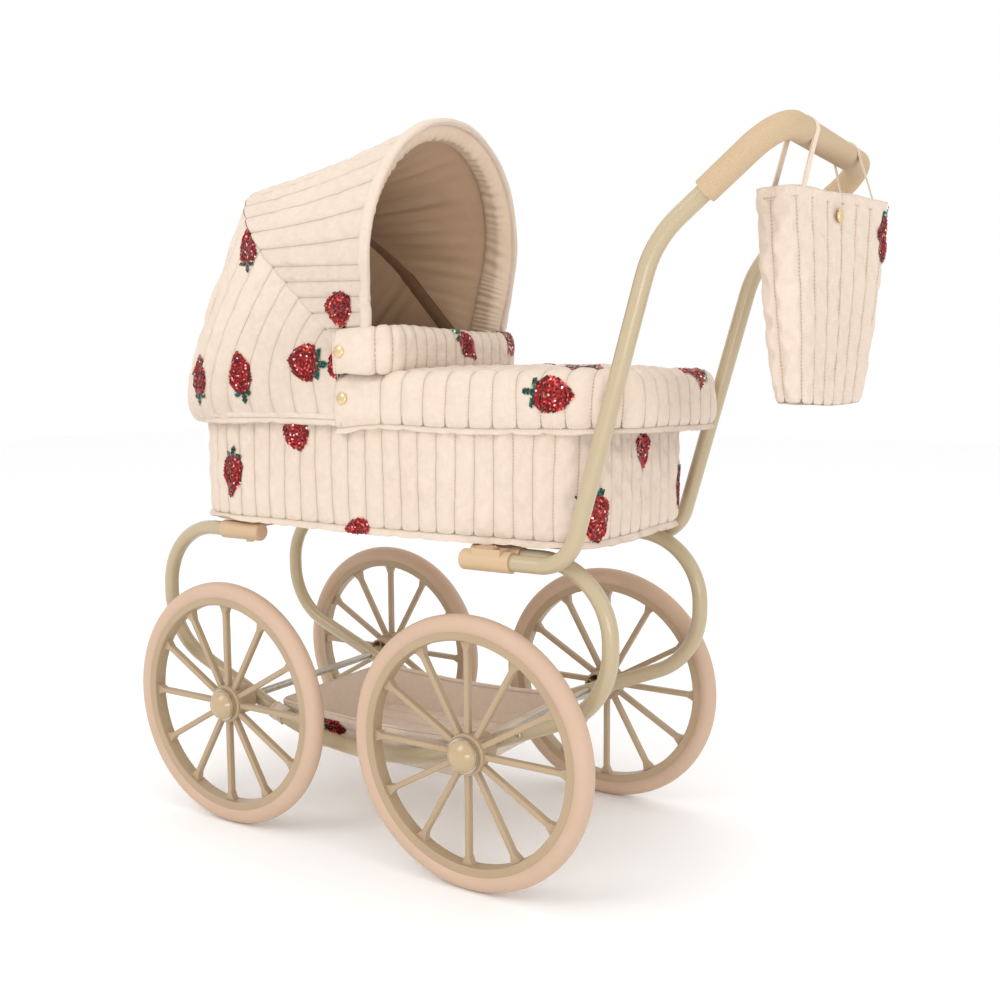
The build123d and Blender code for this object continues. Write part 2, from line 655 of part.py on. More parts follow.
snap_x = basket_mouth[0] / 2 - basket_cloth - basket_snap_drop * tan(radians(wall_lean)) - basket_snap_gap
basket_snap = Pos(snap_x, 0, basket_top - basket_snap_drop) * Rot(0, wall_lean, 0) * Rot(0, 0, 90) * snap(0)
basket_snaps = [to_corner(Pos(0, basket_snap_y, 0) * basket_snap, end, side) for _, end, _, side in corners]
nodes["basket_snaps"] = Compound(basket_snaps)

# ---- bag hung from the handle bar ---------------------------------------------------------------
strap_inside = grip_diameter / 2 + seat_clearance
strap_outside = strap_inside + bag_strap_cloth
bag_mouth = (2 * (strap_outside + bag_strap_room + bag_cloth), bag_mouth_width)
bag = tapered(bag_floor, bag_mouth, bag_bottom, bag_top, 12)
bag -= tapered(grown(bag_floor, -bag_cloth), grown(bag_mouth, -bag_cloth), bag_bottom + bag_cloth, bag_top + 0.01, 9)
bag_place = Pos(handle_bar[0], bag_centre_y, 0)
nodes["bag"] = bag_place * bag
strap_drop = handle_bar[1] - bag_top + bag_strap_overlap
straps = []
for side in (1, -1):
    y_middle = bag_centre_y + side * bag_strap_spacing / 2
    y_span = (y_middle - bag_strap_width / 2, y_middle + bag_strap_width / 2)
    strap = cylinder_y(strap_outside, *y_span, handle_bar[0], handle_bar[1])
    hang = (handle_bar[1] - strap_drop, handle_bar[1])
    strap += block((handle_bar[0] - strap_outside, handle_bar[0] + strap_outside), y_span, hang)
    strap -= cylinder_y(strap_inside, -track, track, handle_bar[0], handle_bar[1])
    room = (handle_bar[1] - strap_drop - 1, handle_bar[1])
    strap -= block((handle_bar[0] - strap_inside, handle_bar[0] + strap_inside), y_span, room)
    straps.append(strap)
nodes["bag_straps"] = Compound(straps)
bag_lean = degrees(atan2((bag_mouth[0] - bag_floor[0]) / 2, bag_top - bag_bottom))
bag_snap_x = handle_bar[0] - bag_mouth[0] / 2 + bag_snap_drop * tan(radians(bag_lean))
nodes["bag_snap"] = Pos(bag_snap_x, bag_centre_y + 14, bag_top - bag_snap_drop) * Rot(0, -bag_lean, 0) \
    * Rot(0, 0, 90) * snap(0)

# ---- move to the bottom centre of the bounding box and write ------------------------------------
overall = Compound(list(nodes.values())).bounding_box()
shift = Pos(-(overall.min.X + overall.max.X) / 2, -(overall.min.Y + overall.max.Y) / 2, -overall.min.Z)
os.makedirs("parts", exist_ok=True)
for name, shape in nodes.items():
    export_step(shift * shape, f"parts/{name}.step")
print("nodes", len(nodes), "shift", shift.position, "size", overall.size)
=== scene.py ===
"""Doll's pram: the looks of its lacquered tube chassis, moulded wheels, quilted carrycot, hood, basket and bag.

Metres, in the part's own frame: +X is the hood end, +Y the left side, +Z up, the floor at z = 0.
"""

import math

import bmesh
import bpy
import numpy as np
from mathutils import Matrix, Vector, noise
from mathutils.bvhtree import BVHTree


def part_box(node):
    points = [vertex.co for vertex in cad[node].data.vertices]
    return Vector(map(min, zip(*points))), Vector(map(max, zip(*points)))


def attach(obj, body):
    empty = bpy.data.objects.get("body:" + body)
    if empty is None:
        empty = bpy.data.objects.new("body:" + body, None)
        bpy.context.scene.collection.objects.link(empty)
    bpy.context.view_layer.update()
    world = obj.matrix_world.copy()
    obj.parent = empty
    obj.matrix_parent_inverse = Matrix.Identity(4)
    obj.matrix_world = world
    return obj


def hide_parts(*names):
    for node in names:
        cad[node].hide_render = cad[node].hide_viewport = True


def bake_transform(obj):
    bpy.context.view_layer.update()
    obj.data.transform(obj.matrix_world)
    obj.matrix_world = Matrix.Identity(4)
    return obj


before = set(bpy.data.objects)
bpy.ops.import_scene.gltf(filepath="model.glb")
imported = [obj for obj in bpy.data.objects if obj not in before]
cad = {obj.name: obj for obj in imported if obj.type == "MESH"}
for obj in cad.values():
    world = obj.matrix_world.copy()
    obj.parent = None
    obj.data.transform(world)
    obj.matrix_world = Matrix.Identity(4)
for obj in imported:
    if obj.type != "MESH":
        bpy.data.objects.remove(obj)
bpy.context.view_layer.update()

# ---- studio -----------------------------------------------------------------------------------
# The pram stands on a plain pale floor in soft white light: one large key lamp high on its left,
# a weaker lamp from the handle end, and an even pale surround.
bpy.ops.object.select_all(action="DESELECT")
camera = bpy.data.objects.new("camera", bpy.data.cameras.new("camera"))
bpy.context.scene.collection.objects.link(camera)
camera.data.lens = 40.04
camera.data.sensor_width = 36.0
camera.data.clip_end = 30.0
sight = Vector((0.530, -0.841, -0.111)).normalized()
camera_turn = sight.to_track_quat("-Z", "Y").to_matrix().to_4x4() @ Matrix.Rotation(-0.00496, 4, "Z")
camera.matrix_world = Matrix.Translation((-0.60897, 0.9269, 0.4568)) @ camera_turn
bpy.context.scene.camera = camera
bpy.context.scene.view_settings.view_transform = "Standard"
bpy.context.scene.view_settings.look = "None"


def srgb(red, green, blue):
    """A colour named by its 0-255 values, as the shader wants it."""
    shares = [value / 255 for value in (red, green, blue)]
    return tuple(s / 12.92 if s <= 0.04045 else ((s + 0.055) / 1.055) ** 2.4 for s in shares) + (1.0,)


surround = bpy.data.worlds.new("surround")
surround.use_nodes = True
surround.node_tree.nodes["Background"].inputs["Color"].default_value = (1.0, 1.0, 1.0, 1.0)
surround.node_tree.nodes["Background"].inputs["Strength"].default_value = 1.0
bpy.context.scene.world = surround


def soft_lamp(name, place, aim, size, power, tint):
    lamp = bpy.data.objects.new(name, bpy.data.lights.new(name, "AREA"))
    bpy.context.scene.collection.objects.link(lamp)
    lamp.data.shape = "RECTANGLE"
    lamp.data.size, lamp.data.size_y = size
    lamp.data.energy = power
    lamp.data.color = tint
    lamp.matrix_world = Matrix.Translation(place) @ (Vector(aim) - Vector(place)).to_track_quat("-Z", "Y").to_matrix().to_4x4()


soft_lamp("key_lamp", (0.55, 1.75, 1.75), (0.0, 0.0, 0.35), (1.1, 1.1), 12.0, (1.0, 0.98, 0.95))
soft_lamp("handle_lamp", (-1.9, 0.5, 1.1), (0.0, 0.0, 0.4), (0.7, 1.4), 4.0, (1.0, 0.985, 0.96))
soft_lamp("low_lamp", (-1.1, 1.6, 0.3), (0.0, 0.0, 0.12), (0.9, 0.4), 5.0, (1.0, 0.99, 0.97))
soft_lamp("top_lamp", (-0.1, -0.2, 2.3), (0.0, 0.0, 0.3), (1.6, 1.6), 5.0, (1.0, 1.0, 1.0))

bpy.ops.mesh.primitive_plane_add(size=14.0, location=(0.0, 0.0, 0.0))
floor = bpy.context.object
floor.name = "floor"


class Level:
    """A number that varies over a surface. Sums of levels are written plainly and become nodes."""

    def __init__(self, finish, socket):
        self.finish, self.socket = finish, socket

    def sum(self, operation, *values):
        node = self.finish.node("ShaderNodeMath", {"operation": operation}, dict(enumerate(values)))
        return Level(self.finish, node.outputs[0])

    def __add__(self, other):
        return self.sum("ADD", self, other)

    def __radd__(self, other):
        return self.sum("ADD", other, self)

    def __sub__(self, other):
        return self.sum("SUBTRACT", self, other)

    def __rsub__(self, other):
        return self.sum("SUBTRACT", other, self)

    def __mul__(self, other):
        return self.sum("MULTIPLY", self, other)

    def __rmul__(self, other):
        return self.sum("MULTIPLY", other, self)

    def __gt__(self, other):
        return self.sum("GREATER_THAN", self, other)

    def __lt__(self, other):
        return self.sum("LESS_THAN", self, other)

    def sine(self):
        return self.sum("SINE", self)

    def fraction(self):
        return self.sum("FRACT", self)


class Finish:
    """One material of the pram. Its shader's numbers are set by name; its nodes are added one by one."""

    def __init__(self, name, **sockets):
        self.material = bpy.data.materials.new(name)
        self.material.use_nodes = True
        self.tree = self.material.node_tree
        self.shader = self.tree.nodes["Principled BSDF"]
        for socket, value in sockets.items():
            self.shader.inputs[socket.replace("_", " ")].default_value = value

    def node(self, kind, settings=None, sockets=None):
        node = self.tree.nodes.new(kind)
        for key, value in (settings or {}).items():
            setattr(node, key, value)
        for key, value in (sockets or {}).items():
            self.join(value, node.inputs[key])
        return node

    def join(self, value, target):
        if isinstance(value, Level):
            value = value.socket
        if isinstance(value, bpy.types.NodeSocket):
            self.tree.links.new(value, target)
        else:
            target.default_value = value

    def set(self, socket, value):
        self.join(value, self.shader.inputs[socket])

    def place(self):
        return self.node("ShaderNodeTexCoord").outputs["Object"]

    def cloud(self, scale, detail=3.0, where=None, rough=0.5):
        """Soft uneven noise, 0 to 1, so many to the metre."""
        vector = where if where is not None else self.place()
        sockets = {"Vector": vector, "Scale": scale, "Detail": detail, "Roughness": rough}
        return Level(self, self.node("ShaderNodeTexNoise", None, sockets).outputs[0])

    def mix(self, share, first, second):
        node = self.node("ShaderNodeMix", {"data_type": "RGBA"}, {0: share, 6: first, 7: second})
        return node.outputs[2]

    def between(self, level, low, high):
        """0 below low, 1 above high, smooth between."""
        sockets = {0: level, 1: low, 2: high, 3: 0.0, 4: 1.0}
        node = self.node("ShaderNodeMapRange", {"interpolation_type": "SMOOTHSTEP"}, sockets)
        return Level(self, node.outputs[0])

    def relief(self, height, depth, strength=1.0):
        """Bump from a height level; depth is what a full level stands for, in metres."""
        node = self.node("ShaderNodeBump", None, {"Strength": strength, "Distance": depth, "Height": height})
        self.set("Normal", node.outputs[0])

    def paint(self, obj):
        obj.data.materials.clear()
        obj.data.materials.append(self.material)
        return obj


floor_finish = Finish("studio_floor", Base_Color=(0.985, 0.985, 0.99, 1.0), Roughness=0.85)
floor_finish.set("Roughness", 0.8 + 0.05 * floor_finish.cloud(3.0))
floor_finish.paint(floor)

# ---- tube chassis --------------------------------------------------------------------------------
# Steel tube, bent cold and powder coated in a warm olive beige: two lower bows between the axles,
# four C springs pushed on over plugs, and the one-piece handle. Zinc axles and sprung snap buttons.
lacquer = Finish("olive_beige_lacquer", Roughness=0.3, Coat_Weight=0.55, Coat_Roughness=0.12)
drift = lacquer.cloud(9.0)
lacquer.set("Base Color", lacquer.mix(drift, srgb(172, 154, 122), srgb(184, 167, 135)))
lacquer.set("Roughness", 0.24 + 0.12 * lacquer.cloud(60.0))
lacquer.relief(lacquer.cloud(700.0, 2.0), 0.00006)
zinc = Finish("zinc_plate", Metallic=1.0, Roughness=0.3)
zinc.set("Base Color", zinc.mix(zinc.cloud(200.0), srgb(172, 166, 154), srgb(208, 203, 192)))
zinc.set("Roughness", 0.22 + 0.2 * zinc.cloud(500.0))
for name in ("lower_bow_left", "lower_bow_right", "handle_tube", "cot_rim_frame"):
    lacquer.paint(cad[name])
for name in cad:
    if name.startswith(("spring_front", "spring_rear")):
        lacquer.paint(cad[name])
    if name.startswith("snap_button") or name in ("front_axle", "rear_axle", "axle_washers", "spring_plugs", "hood_pivot_pins"):
        zinc.paint(cad[name])

# ---- wheels --------------------------------------------------------------------------------------
# Each wheel is one moulding of sand-coloured plastic, with twelve spokes, and a closed foam-rubber
# tyre snapped into its rim. Glossy domed caps hold the wheels on their axles.
moulding = Finish("sand_wheel_plastic", Roughness=0.42, Coat_Weight=0.12, Coat_Roughness=0.3)
moulding.set("Base Color", moulding.mix(moulding.cloud(25.0), srgb(164, 141, 112), srgb(176, 153, 123)))
moulding.set("Roughness", 0.36 + 0.14 * moulding.cloud(220.0))
moulding.relief(moulding.cloud(1400.0, 2.0), 0.00004)
rubber = Finish("rose_beige_tyre", Roughness=0.48)
rubber.set("Base Color", rubber.mix(rubber.cloud(18.0), srgb(188, 159, 135), srgb(199, 171, 148)))
rubber.set("Roughness", 0.42 + 0.16 * rubber.cloud(90.0))
rubber.relief(rubber.cloud(1900.0, 2.0), 0.00006)
gloss = Finish("glossy_cap_plastic", Roughness=0.16, Coat_Weight=0.5, Coat_Roughness=0.05)
gloss.set("Base Color", gloss.mix(gloss.cloud(60.0), srgb(174, 150, 114), srgb(184, 160, 124)))
for name in cad:
    if name.startswith("wheel_"):
        moulding.paint(cad[name])
    if name.startswith("tyre_"):
        rubber.paint(cad[name])
gloss.paint(cad["hub_caps"])
moulding.paint(cad["axle_spacers"])

# ---- clamps and grip -----------------------------------------------------------------------------
# Peach-beige nylon clamps hold springs and handle to two cross members under the carrycot, with a
# ribbed slide that lets the cot go. The bar is sleeved in dense foam, matt, with fine open pores.
nylon = Finish("peach_clamp_nylon", Roughness=0.45, Coat_Weight=0.1, Coat_Roughness=0.3)
nylon.set("Base Color", nylon.mix(nylon.cloud(40.0), srgb(190, 159, 125), srgb(202, 172, 138)))
nylon.set("Roughness", 0.38 + 0.16 * nylon.cloud(300.0))
nylon.relief(nylon.cloud(1600.0, 2.0), 0.00004)
for name in cad:
    if name.startswith(("front_clamp", "rear_clamp", "release_tab")) or name.endswith("crossmember"):
        nylon.paint(cad[name])
nylon.paint(cad["hood_brackets"])
foam = Finish("sand_grip_foam", Roughness=0.82)
pores = foam.cloud(1500.0, 2.0)
# painted shade: the colour is darker where the pore noise is low, which the bump makes the hollows of the pores
foam.set("Base Color", foam.mix(foam.between(pores, 0.3, 0.55), srgb(180, 155, 123), srgb(194, 170, 138)))
foam.relief(pores + 0.6 * foam.cloud(90.0), 0.00025)
foam.paint(cad["handle_grip"])
for name in ("hood_front_bow", "hood_mid_bow"):
    lacquer.paint(cad[name])

# ---- carrycot wall -------------------------------------------------------------------------------
# Cream cotton over wadding, sewn in upright channels about 20 mm wide, stretched round a board box
# with a round front end. A turned hem with one row of stitches runs round its foot.
SAND = (236, 219, 203)
quilt = Finish("cream_quilted_cotton", Roughness=0.82, Sheen_Weight=0.12, Sheen_Roughness=0.5)
stretch = quilt.node("ShaderNodeUVMap", {"uv_map": "cloth"}).outputs[0]
seam_gap = Level(quilt, quilt.node("ShaderNodeAttribute", {"attribute_name": "seam"}).outputs["Fac"])
seam_run = Level(quilt, quilt.node("ShaderNodeAttribute", {"attribute_name": "run"}).outputs["Fac"])
near_seam = 1.0 - quilt.between(seam_gap, 0.0002, 0.0007)
# painted shade: a mask that is 1 in the valley beside each seam and 0 on the puffs
valley_shade = 1.0 - quilt.between(seam_gap, 0.0006, 0.0040)
stitch = (seam_run * (1 / 0.0030)).fraction() < 0.62
warp_weft = Level(quilt, quilt.node("ShaderNodeSeparateXYZ", None, {0: stretch}).outputs[0])
weft = Level(quilt, quilt.node("ShaderNodeSeparateXYZ", None, {0: stretch}).outputs[1])
weave = (warp_weft * 7400.0).sine() * (weft * 7400.0).sine()
slub = quilt.cloud(160.0, 4.0, rough=0.6)
cream = quilt.mix(quilt.cloud(11.0, 2.0), srgb(213, 194, 177), srgb(225, 208, 191))
cream = quilt.mix(0.35 * quilt.between(slub, 0.35, 0.75), cream, srgb(231, 215, 199))
# painted shade: the cloth is darkened a little towards brown in the seam valleys, where shade falls between the puffs
cream = quilt.mix(0.10 * valley_shade, cream, srgb(186, 158, 130))
cream = quilt.mix(near_seam * (0.08 + 0.36 * stitch), cream, srgb(172, 138, 108))
quilt.set("Base Color", cream)
crease = quilt.cloud(75.0, 4.0, rough=0.55)
quilt.relief(0.05 * weave + 0.5 * slub + 1.2 * crease - 0.5 * near_seam * stitch, 0.0016)
quilt.set("Roughness", 0.76 + 0.12 * slub)


def laid(points, wrap_u, wrap_v, first=0):
    """Square faces over a grid of points that starts at vertex number first."""
    rows, columns = points.shape[:2]
    number = first + np.arange(rows * columns).reshape(rows, columns)
    if wrap_u:
        number = np.vstack([number, number[:1]])
    if wrap_v:
        number = np.hstack([number, number[:, :1]])
    return np.stack([number[:-1, :-1], number[1:, :-1], number[1:, 1:], number[:-1, 1:]], -1).reshape(-1, 4)


def facing(points, wrap_u=False, wrap_v=False):
    """Unit normals of a grid of points."""
    def slope(axis, wrap):
        if wrap:
            return np.roll(points, -1, axis) - np.roll(points, 1, axis)
        return np.gradient(points, axis=axis)
    across = np.cross(slope(0, wrap_u), slope(1, wrap_v))
    return across / np.maximum(np.linalg.norm(across, axis=-1, keepdims=True), 1e-12)


def new_mesh(name, points, faces):
    mesh = bpy.data.meshes.new(name)
    mesh.from_pydata([tuple(p) for p in np.asarray(points, float).reshape(-1, 3)], [], [tuple(int(i) for i in f) for f in faces])
    obj = bpy.data.objects.new(name, mesh)
    bpy.context.scene.collection.objects.link(obj)
    return obj


def rumple(points, scale, offset=0.0):
    """Even noise at each point, about -1 to 1."""
    flat = points.reshape(-1, 3) * scale + offset
    return np.array([noise.noise(p) for p in flat.tolist()]).reshape(points.shape[:-1]) * 1.6


def puff(points, gap, half, lift, sink, wrap_u, wrap_v, pinned, slack, pressure, cap, steps=9):
    """Wadding under sewn cloth: the sheet rises between its seams, and a short cloth simulation,
    held along the seams, gives it its natural creases."""
    out = facing(points, wrap_u, wrap_v)
    share = np.clip(gap / half, 0, 1)
    rise = lift * (1 - (1 - share) ** 2.2) ** 0.75 - sink * (share < 0.01)
    rise = rise + share * (0.00035 * rumple(points, 55.0) + 0.0005 * rumple(points, 22.0, 7.0))
    start = points + out * rise[..., None]
    obj = new_mesh("puff", start, laid(start, wrap_u, wrap_v))
    group = obj.vertex_groups.new(name="sewn")
    group.add([int(i) for i in np.flatnonzero(pinned.reshape(-1))], 1.0, "REPLACE")
    cloth = obj.modifiers.new("cloth", "CLOTH")
    cloth.settings.quality = 4
    cloth.settings.mass = 0.25
    cloth.settings.tension_stiffness = 12.0
    cloth.settings.compression_stiffness = 6.0
    cloth.settings.shear_stiffness = 4.0
    cloth.settings.bending_stiffness = 0.25
    cloth.settings.air_damping = 2.0
    cloth.settings.vertex_group_mass = "sewn"
    cloth.settings.pin_stiffness = 1.0
    cloth.settings.shrink_min = -slack
    cloth.settings.use_pressure = True
    cloth.settings.uniform_pressure_force = pressure
    cloth.settings.effector_weights.gravity = 0.0
    cloth.collision_settings.use_collision = False
    cloth.point_cache.frame_start, cloth.point_cache.frame_end = 1, steps
    for step in range(1, steps + 1):
        bpy.context.scene.frame_set(step)
    shaped = obj.evaluated_get(bpy.context.evaluated_depsgraph_get())
    moved = np.empty(len(shaped.data.vertices) * 3)
    shaped.data.vertices.foreach_get("co", moved)
    moved = moved.reshape(start.shape)
    bpy.data.objects.remove(obj)
    bpy.context.scene.frame_set(1)
    drift_by = moved - start
    far = np.maximum(np.linalg.norm(drift_by, axis=-1, keepdims=True), 1e-12)
    return start + drift_by * np.minimum(1.0, cap / far)


def layered(name, outer, inner, wrap_u, wrap_v, lengths, gap, run, smooth=1):
    """Closes an outer and an inner grid into one piece of cloth, with its seam maps and cloth map."""
    rows, columns = outer.shape[:2]
    count = rows * columns
    faces = [laid(outer, wrap_u, wrap_v), laid(inner, wrap_u, wrap_v, count)[:, ::-1]]
    number = np.arange(count).reshape(rows, columns)
    edges = []
    if not wrap_v:
        ring = np.append(number[:, 0], number[:1, 0]) if wrap_u else number[:, 0]
        edges.append(ring[::-1])
        ring = np.append(number[:, -1], number[:1, -1]) if wrap_u else number[:, -1]
        edges.append(ring)
    if not wrap_u:
        ring = np.append(number[0], number[0, :1]) if wrap_v else number[0]
        edges.append(ring)
        ring = np.append(number[-1], number[-1, :1]) if wrap_v else number[-1]
        edges.append(ring[::-1])
    for ring in edges:
        faces.append(np.stack([ring[1:], ring[:-1], ring[:-1] + count, ring[1:] + count], -1))
    obj = new_mesh(name, np.concatenate([outer.reshape(-1, 3), inner.reshape(-1, 3)]), np.concatenate(faces))
    mesh = obj.data
    far = np.full(count, 1.0)
    for key, values in (("seam", np.concatenate([gap.reshape(-1), far])), ("run", np.tile(run.reshape(-1), 2))):
        mesh.attributes.new(key, "FLOAT", "POINT").data.foreach_set("value", values.astype(np.float32))
    corner = np.empty(len(mesh.loops), np.int32)
    mesh.loops.foreach_get("vertex_index", corner)
    uv = np.tile(np.stack([lengths[0].reshape(-1), lengths[1].reshape(-1)], -1), (2, 1))
    mesh.uv_layers.new(name="cloth").data.foreach_set("uv", uv[corner].astype(np.float32).reshape(-1))
    mesh.polygons.foreach_set("use_smooth", np.ones(len(mesh.polygons), bool))
    if smooth:
        bpy.ops.object.select_all(action="DESELECT")
        bpy.context.view_layer.objects.active = obj
        obj.select_set(True)
        rounder = obj.modifiers.new("rounder", "SUBSURF")
        rounder.levels = rounder.render_levels = smooth
        bpy.ops.object.modifier_apply(modifier=rounder.name)
    return obj


def channels(u, v, u_lines, v_lines, hem=-1.0):
    """How far each grid point is from its nearest seam, and how far along that seam. Below the hem
    line the upright seams stop."""
    gap_u = np.min(np.abs(u[..., None] - np.asarray(u_lines)), -1) if len(u_lines) else np.full(u.shape, 1.0)
    gap_u = np.where(v < hem, 1.0, gap_u)
    gap_v = np.min(np.abs(v[..., None] - np.asarray(v_lines)), -1) if len(v_lines) else np.full(u.shape, 1.0)
    return np.minimum(gap_u, gap_v), np.where(gap_u < gap_v, v, u)


def along(line, lengths):
    """Points at the given lengths along a line of many points."""
    steps = np.r_[0, np.cumsum(np.linalg.norm(np.diff(line, axis=0), axis=1))]
    return np.stack([np.interp(lengths, steps, line[:, k]) for k in range(line.shape[1])], -1)


def length_of(line):
    return float(np.linalg.norm(np.diff(line, axis=0), axis=1).sum())


def arc(centre, radius, first, last, count=120):
    turn = np.radians(np.linspace(first, last, count))
    return np.stack([centre[0] + radius * np.cos(turn), centre[1] + radius * np.sin(turn)], -1)


cot_low, cot_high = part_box("cot_shell")
COT_CORNER = 0.032


def cot_outline(inset):
    """The carrycot's outline from above: from the middle of its rear end, round by the right side."""
    half = cot_high.y - inset
    rear, corner = cot_low.x + inset, COT_CORNER - inset
    round_x = cot_high.x - cot_high.y
    return np.concatenate([
        [[rear, 0.0]],
        arc((rear + corner, -half + corner), corner, 180, 270),
        arc((round_x, 0.0), half, -90, 90, 400),
        arc((rear + corner, half - corner), corner, 90, 180),
        [[rear, 0.0]],
    ])


CELLS = 6


def sew(name, points, u, v, u_lines, v_lines, half, thick, lift, sink=0.0009, wrap_u=False, wrap_v=False,
        edges=(), slack=0.035, pressure=1.2, cap=0.005, finish=None, inner=None, hem=-1.0):
    """A quilted piece: the grid of points is puffed between its seams and closed by a plain back."""
    out = facing(points, wrap_u, wrap_v)
    gap, run = channels(u, v, u_lines, v_lines, hem)
    held = gap < 1e-5
    for side in edges:
        held[{"first": np.s_[0], "last": np.s_[-1], "low": np.s_[:, 0], "high": np.s_[:, -1]}[side]] = True
    shaped = puff(points, gap, half, lift, sink, wrap_u, wrap_v, held, slack, pressure, cap)
    back = points - out * thick if inner is None else inner
    obj = layered(name, shaped, back, wrap_u, wrap_v, (u, v), gap, run)
    (finish or quilt).paint(obj)
    return obj


wall_line = cot_outline(0.0016)
wall_length = length_of(wall_line)
wall_channels = round(wall_length / 0.0205)
pitch = wall_length / wall_channels
rise_line = np.r_[0.0, 0.0028, 0.0062, np.linspace(0.0098, cot_high.z - cot_low.z, 19)]
u, v = np.meshgrid(np.arange(wall_channels * CELLS) * pitch / CELLS, rise_line, indexing="ij")
sway = 0.0011 * np.sin(u * 31 + 2.0 * np.sin(u * 7)) * np.sin(v * 38 + u * 19)
flat = along(wall_line, np.mod(u + sway, wall_length).reshape(-1)).reshape(u.shape + (2,))
wavy_foot = 0.0009 * np.sin(u * 23 + np.sin(u * 9)) * np.clip(1 - v / 0.02, 0, 1)
wall = np.concatenate([flat, (cot_low.z + v + wavy_foot)[..., None]], -1)
wall = wall + facing(wall, True) * (0.0012 * np.sin(np.pi * v / rise_line[-1]))[..., None]
cot_wall = sew("cot_wall", wall, u, v, np.arange(wall_channels + 1) * pitch, [rise_line[2]], pitch / 2, 0.0058,
               0.0026, wrap_u=True, edges=("high",), hem=rise_line[2] - 1e-4)
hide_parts("cot_shell")
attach(cot_wall, "chassis")


# ---- carrycot floor and mattress -----------------------------------------------------------------
# The cot stands on a flat sewn bottom over a fibre board. Inside lies a thin foam mattress in a plain
# cotton cover, crowned a little.
def disc_grid(line, rings, low, crown, edge):
    """A grid from the middle of an outline out to its edge, rounded down at the rim."""
    middle = line.mean(0)
    share = np.sin(np.linspace(0.0, np.pi / 2, rings))
    points = np.empty((len(line), rings, 3))
    for ring, part in enumerate(share):
        points[:, ring, :2] = middle + (line - middle) * max(part, 0.004)
        points[:, ring, 2] = low + crown * (1 - part ** 2) - edge * max(0.0, part - 0.9) ** 2 * 100
    return points


cotton = Finish("plain_cotton_lining", Roughness=0.86, Sheen_Weight=0.1)
thread = cotton.place()
fibre = cotton.cloud(900.0, 2.0)
# The cotton is a darker brown than the cream outer cloth: partly its own colour, partly painted shade for the hood's
# shaded inside.
cotton.set("Base Color", cotton.mix(cotton.cloud(14.0), srgb(190, 160, 130), srgb(203, 174, 144)))
cotton.relief(0.3 * fibre + cotton.cloud(45.0, 3.0), 0.0012)
bottom_line = along(cot_outline(0.0022), np.linspace(0, length_of(cot_outline(0.0022)), 181)[:-1])
bottom = disc_grid(bottom_line, 8, cot_low.z + 0.0006, 0.0, 0.0)
u, v = np.meshgrid(np.linspace(0, 1.2, 180), np.linspace(0, 0.15, 8), indexing="ij")
far = np.full(u.shape, 1.0)
cot_bottom = layered("cot_bottom", bottom, bottom + (0, 0, 0.0022), True, False, (u, v), far, u, 0)
cotton.paint(cot_bottom)
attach(cot_bottom, "chassis")
board = Finish("fibre_board", Roughness=0.8)
board.set("Base Color", board.mix(board.cloud(300.0), srgb(150, 122, 92), srgb(178, 150, 118)))
board.paint(cad["cot_base_board"])
mat_low, mat_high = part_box("mattress")
mat_line = cot_outline(0.0095)
mat_length = length_of(mat_line)
mat_line = along(mat_line, np.linspace(0, mat_length, 241)[:-1])
u, v = np.meshgrid(np.linspace(0, mat_length, 240), np.linspace(0, 0.2, 26), indexing="ij")
middle = mat_line.mean(0)
mat = np.empty(u.shape + (3,))
for ring in range(26):
    turn = np.pi * ring / 25
    reach = 1.0 if 0 < ring < 25 else 0.02
    part = min(1.0, max(0.02, (np.sin(turn)) ** 0.35)) * reach
    mat[:, ring, :2] = middle + (mat_line - middle) * part
    height = (mat_low.z + mat_high.z) / 2 - (mat_high.z - mat_low.z) / 2 * np.sign(np.cos(turn)) * abs(np.cos(turn)) ** 0.4
    mat[:, ring, 2] = height
mat[..., 2] += 0.0007 * rumple(mat, 40.0)
mattress = new_mesh("mattress_pad", mat, laid(mat, True, False))
mattress.data.uv_layers.new(name="cloth")
mattress.data.polygons.foreach_set("use_smooth", np.ones(len(mattress.data.polygons), bool))
sheeting = Finish("white_mattress_cotton", Roughness=0.85, Sheen_Weight=0.1)
sheeting.set("Base Color", sheeting.mix(sheeting.cloud(30.0), srgb(216, 206, 192), srgb(228, 219, 206)))
sheeting.relief(sheeting.cloud(60.0, 4.0) + 0.2 * sheeting.cloud(1100.0), 0.0014)
sheeting.paint(mattress)
bpy.ops.object.select_all(action="DESELECT")
bpy.context.view_layer.objects.active = mattress
mattress.select_set(True)
bpy.ops.object.mode_set(mode="EDIT")
bpy.ops.mesh.select_all(action="SELECT")
bpy.ops.mesh.region_to_loop()
bpy.ops.mesh.edge_face_add()
bpy.ops.mesh.select_all(action="SELECT")
bpy.ops.mesh.normals_make_consistent(inside=False)
bpy.ops.object.mode_set(mode="OBJECT")
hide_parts("mattress")
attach(mattress, "chassis")

# ---- apron ---------------------------------------------------------------------------------------
# A quilted cover buttoned over the foot of the cot: a band sewn in upright channels runs round both
# sides and the foot, and a top panel, sewn across, joins it just inside the rounded edge.
apron_low, apron_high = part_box("apron")
APRON_CORNER, APRON_ROUND = 0.036, 0.014


def foot_line(half, rear, front, corner):
    """From the left front, back along the left side, round the foot and forward on the right."""
    return np.concatenate([
        [[front, half]],
        arc((rear + corner, half - corner), corner, 90, 180),
        arc((rear + corner, -half + corner), corner, 180, 270),
        [[front, -half]],
    ])


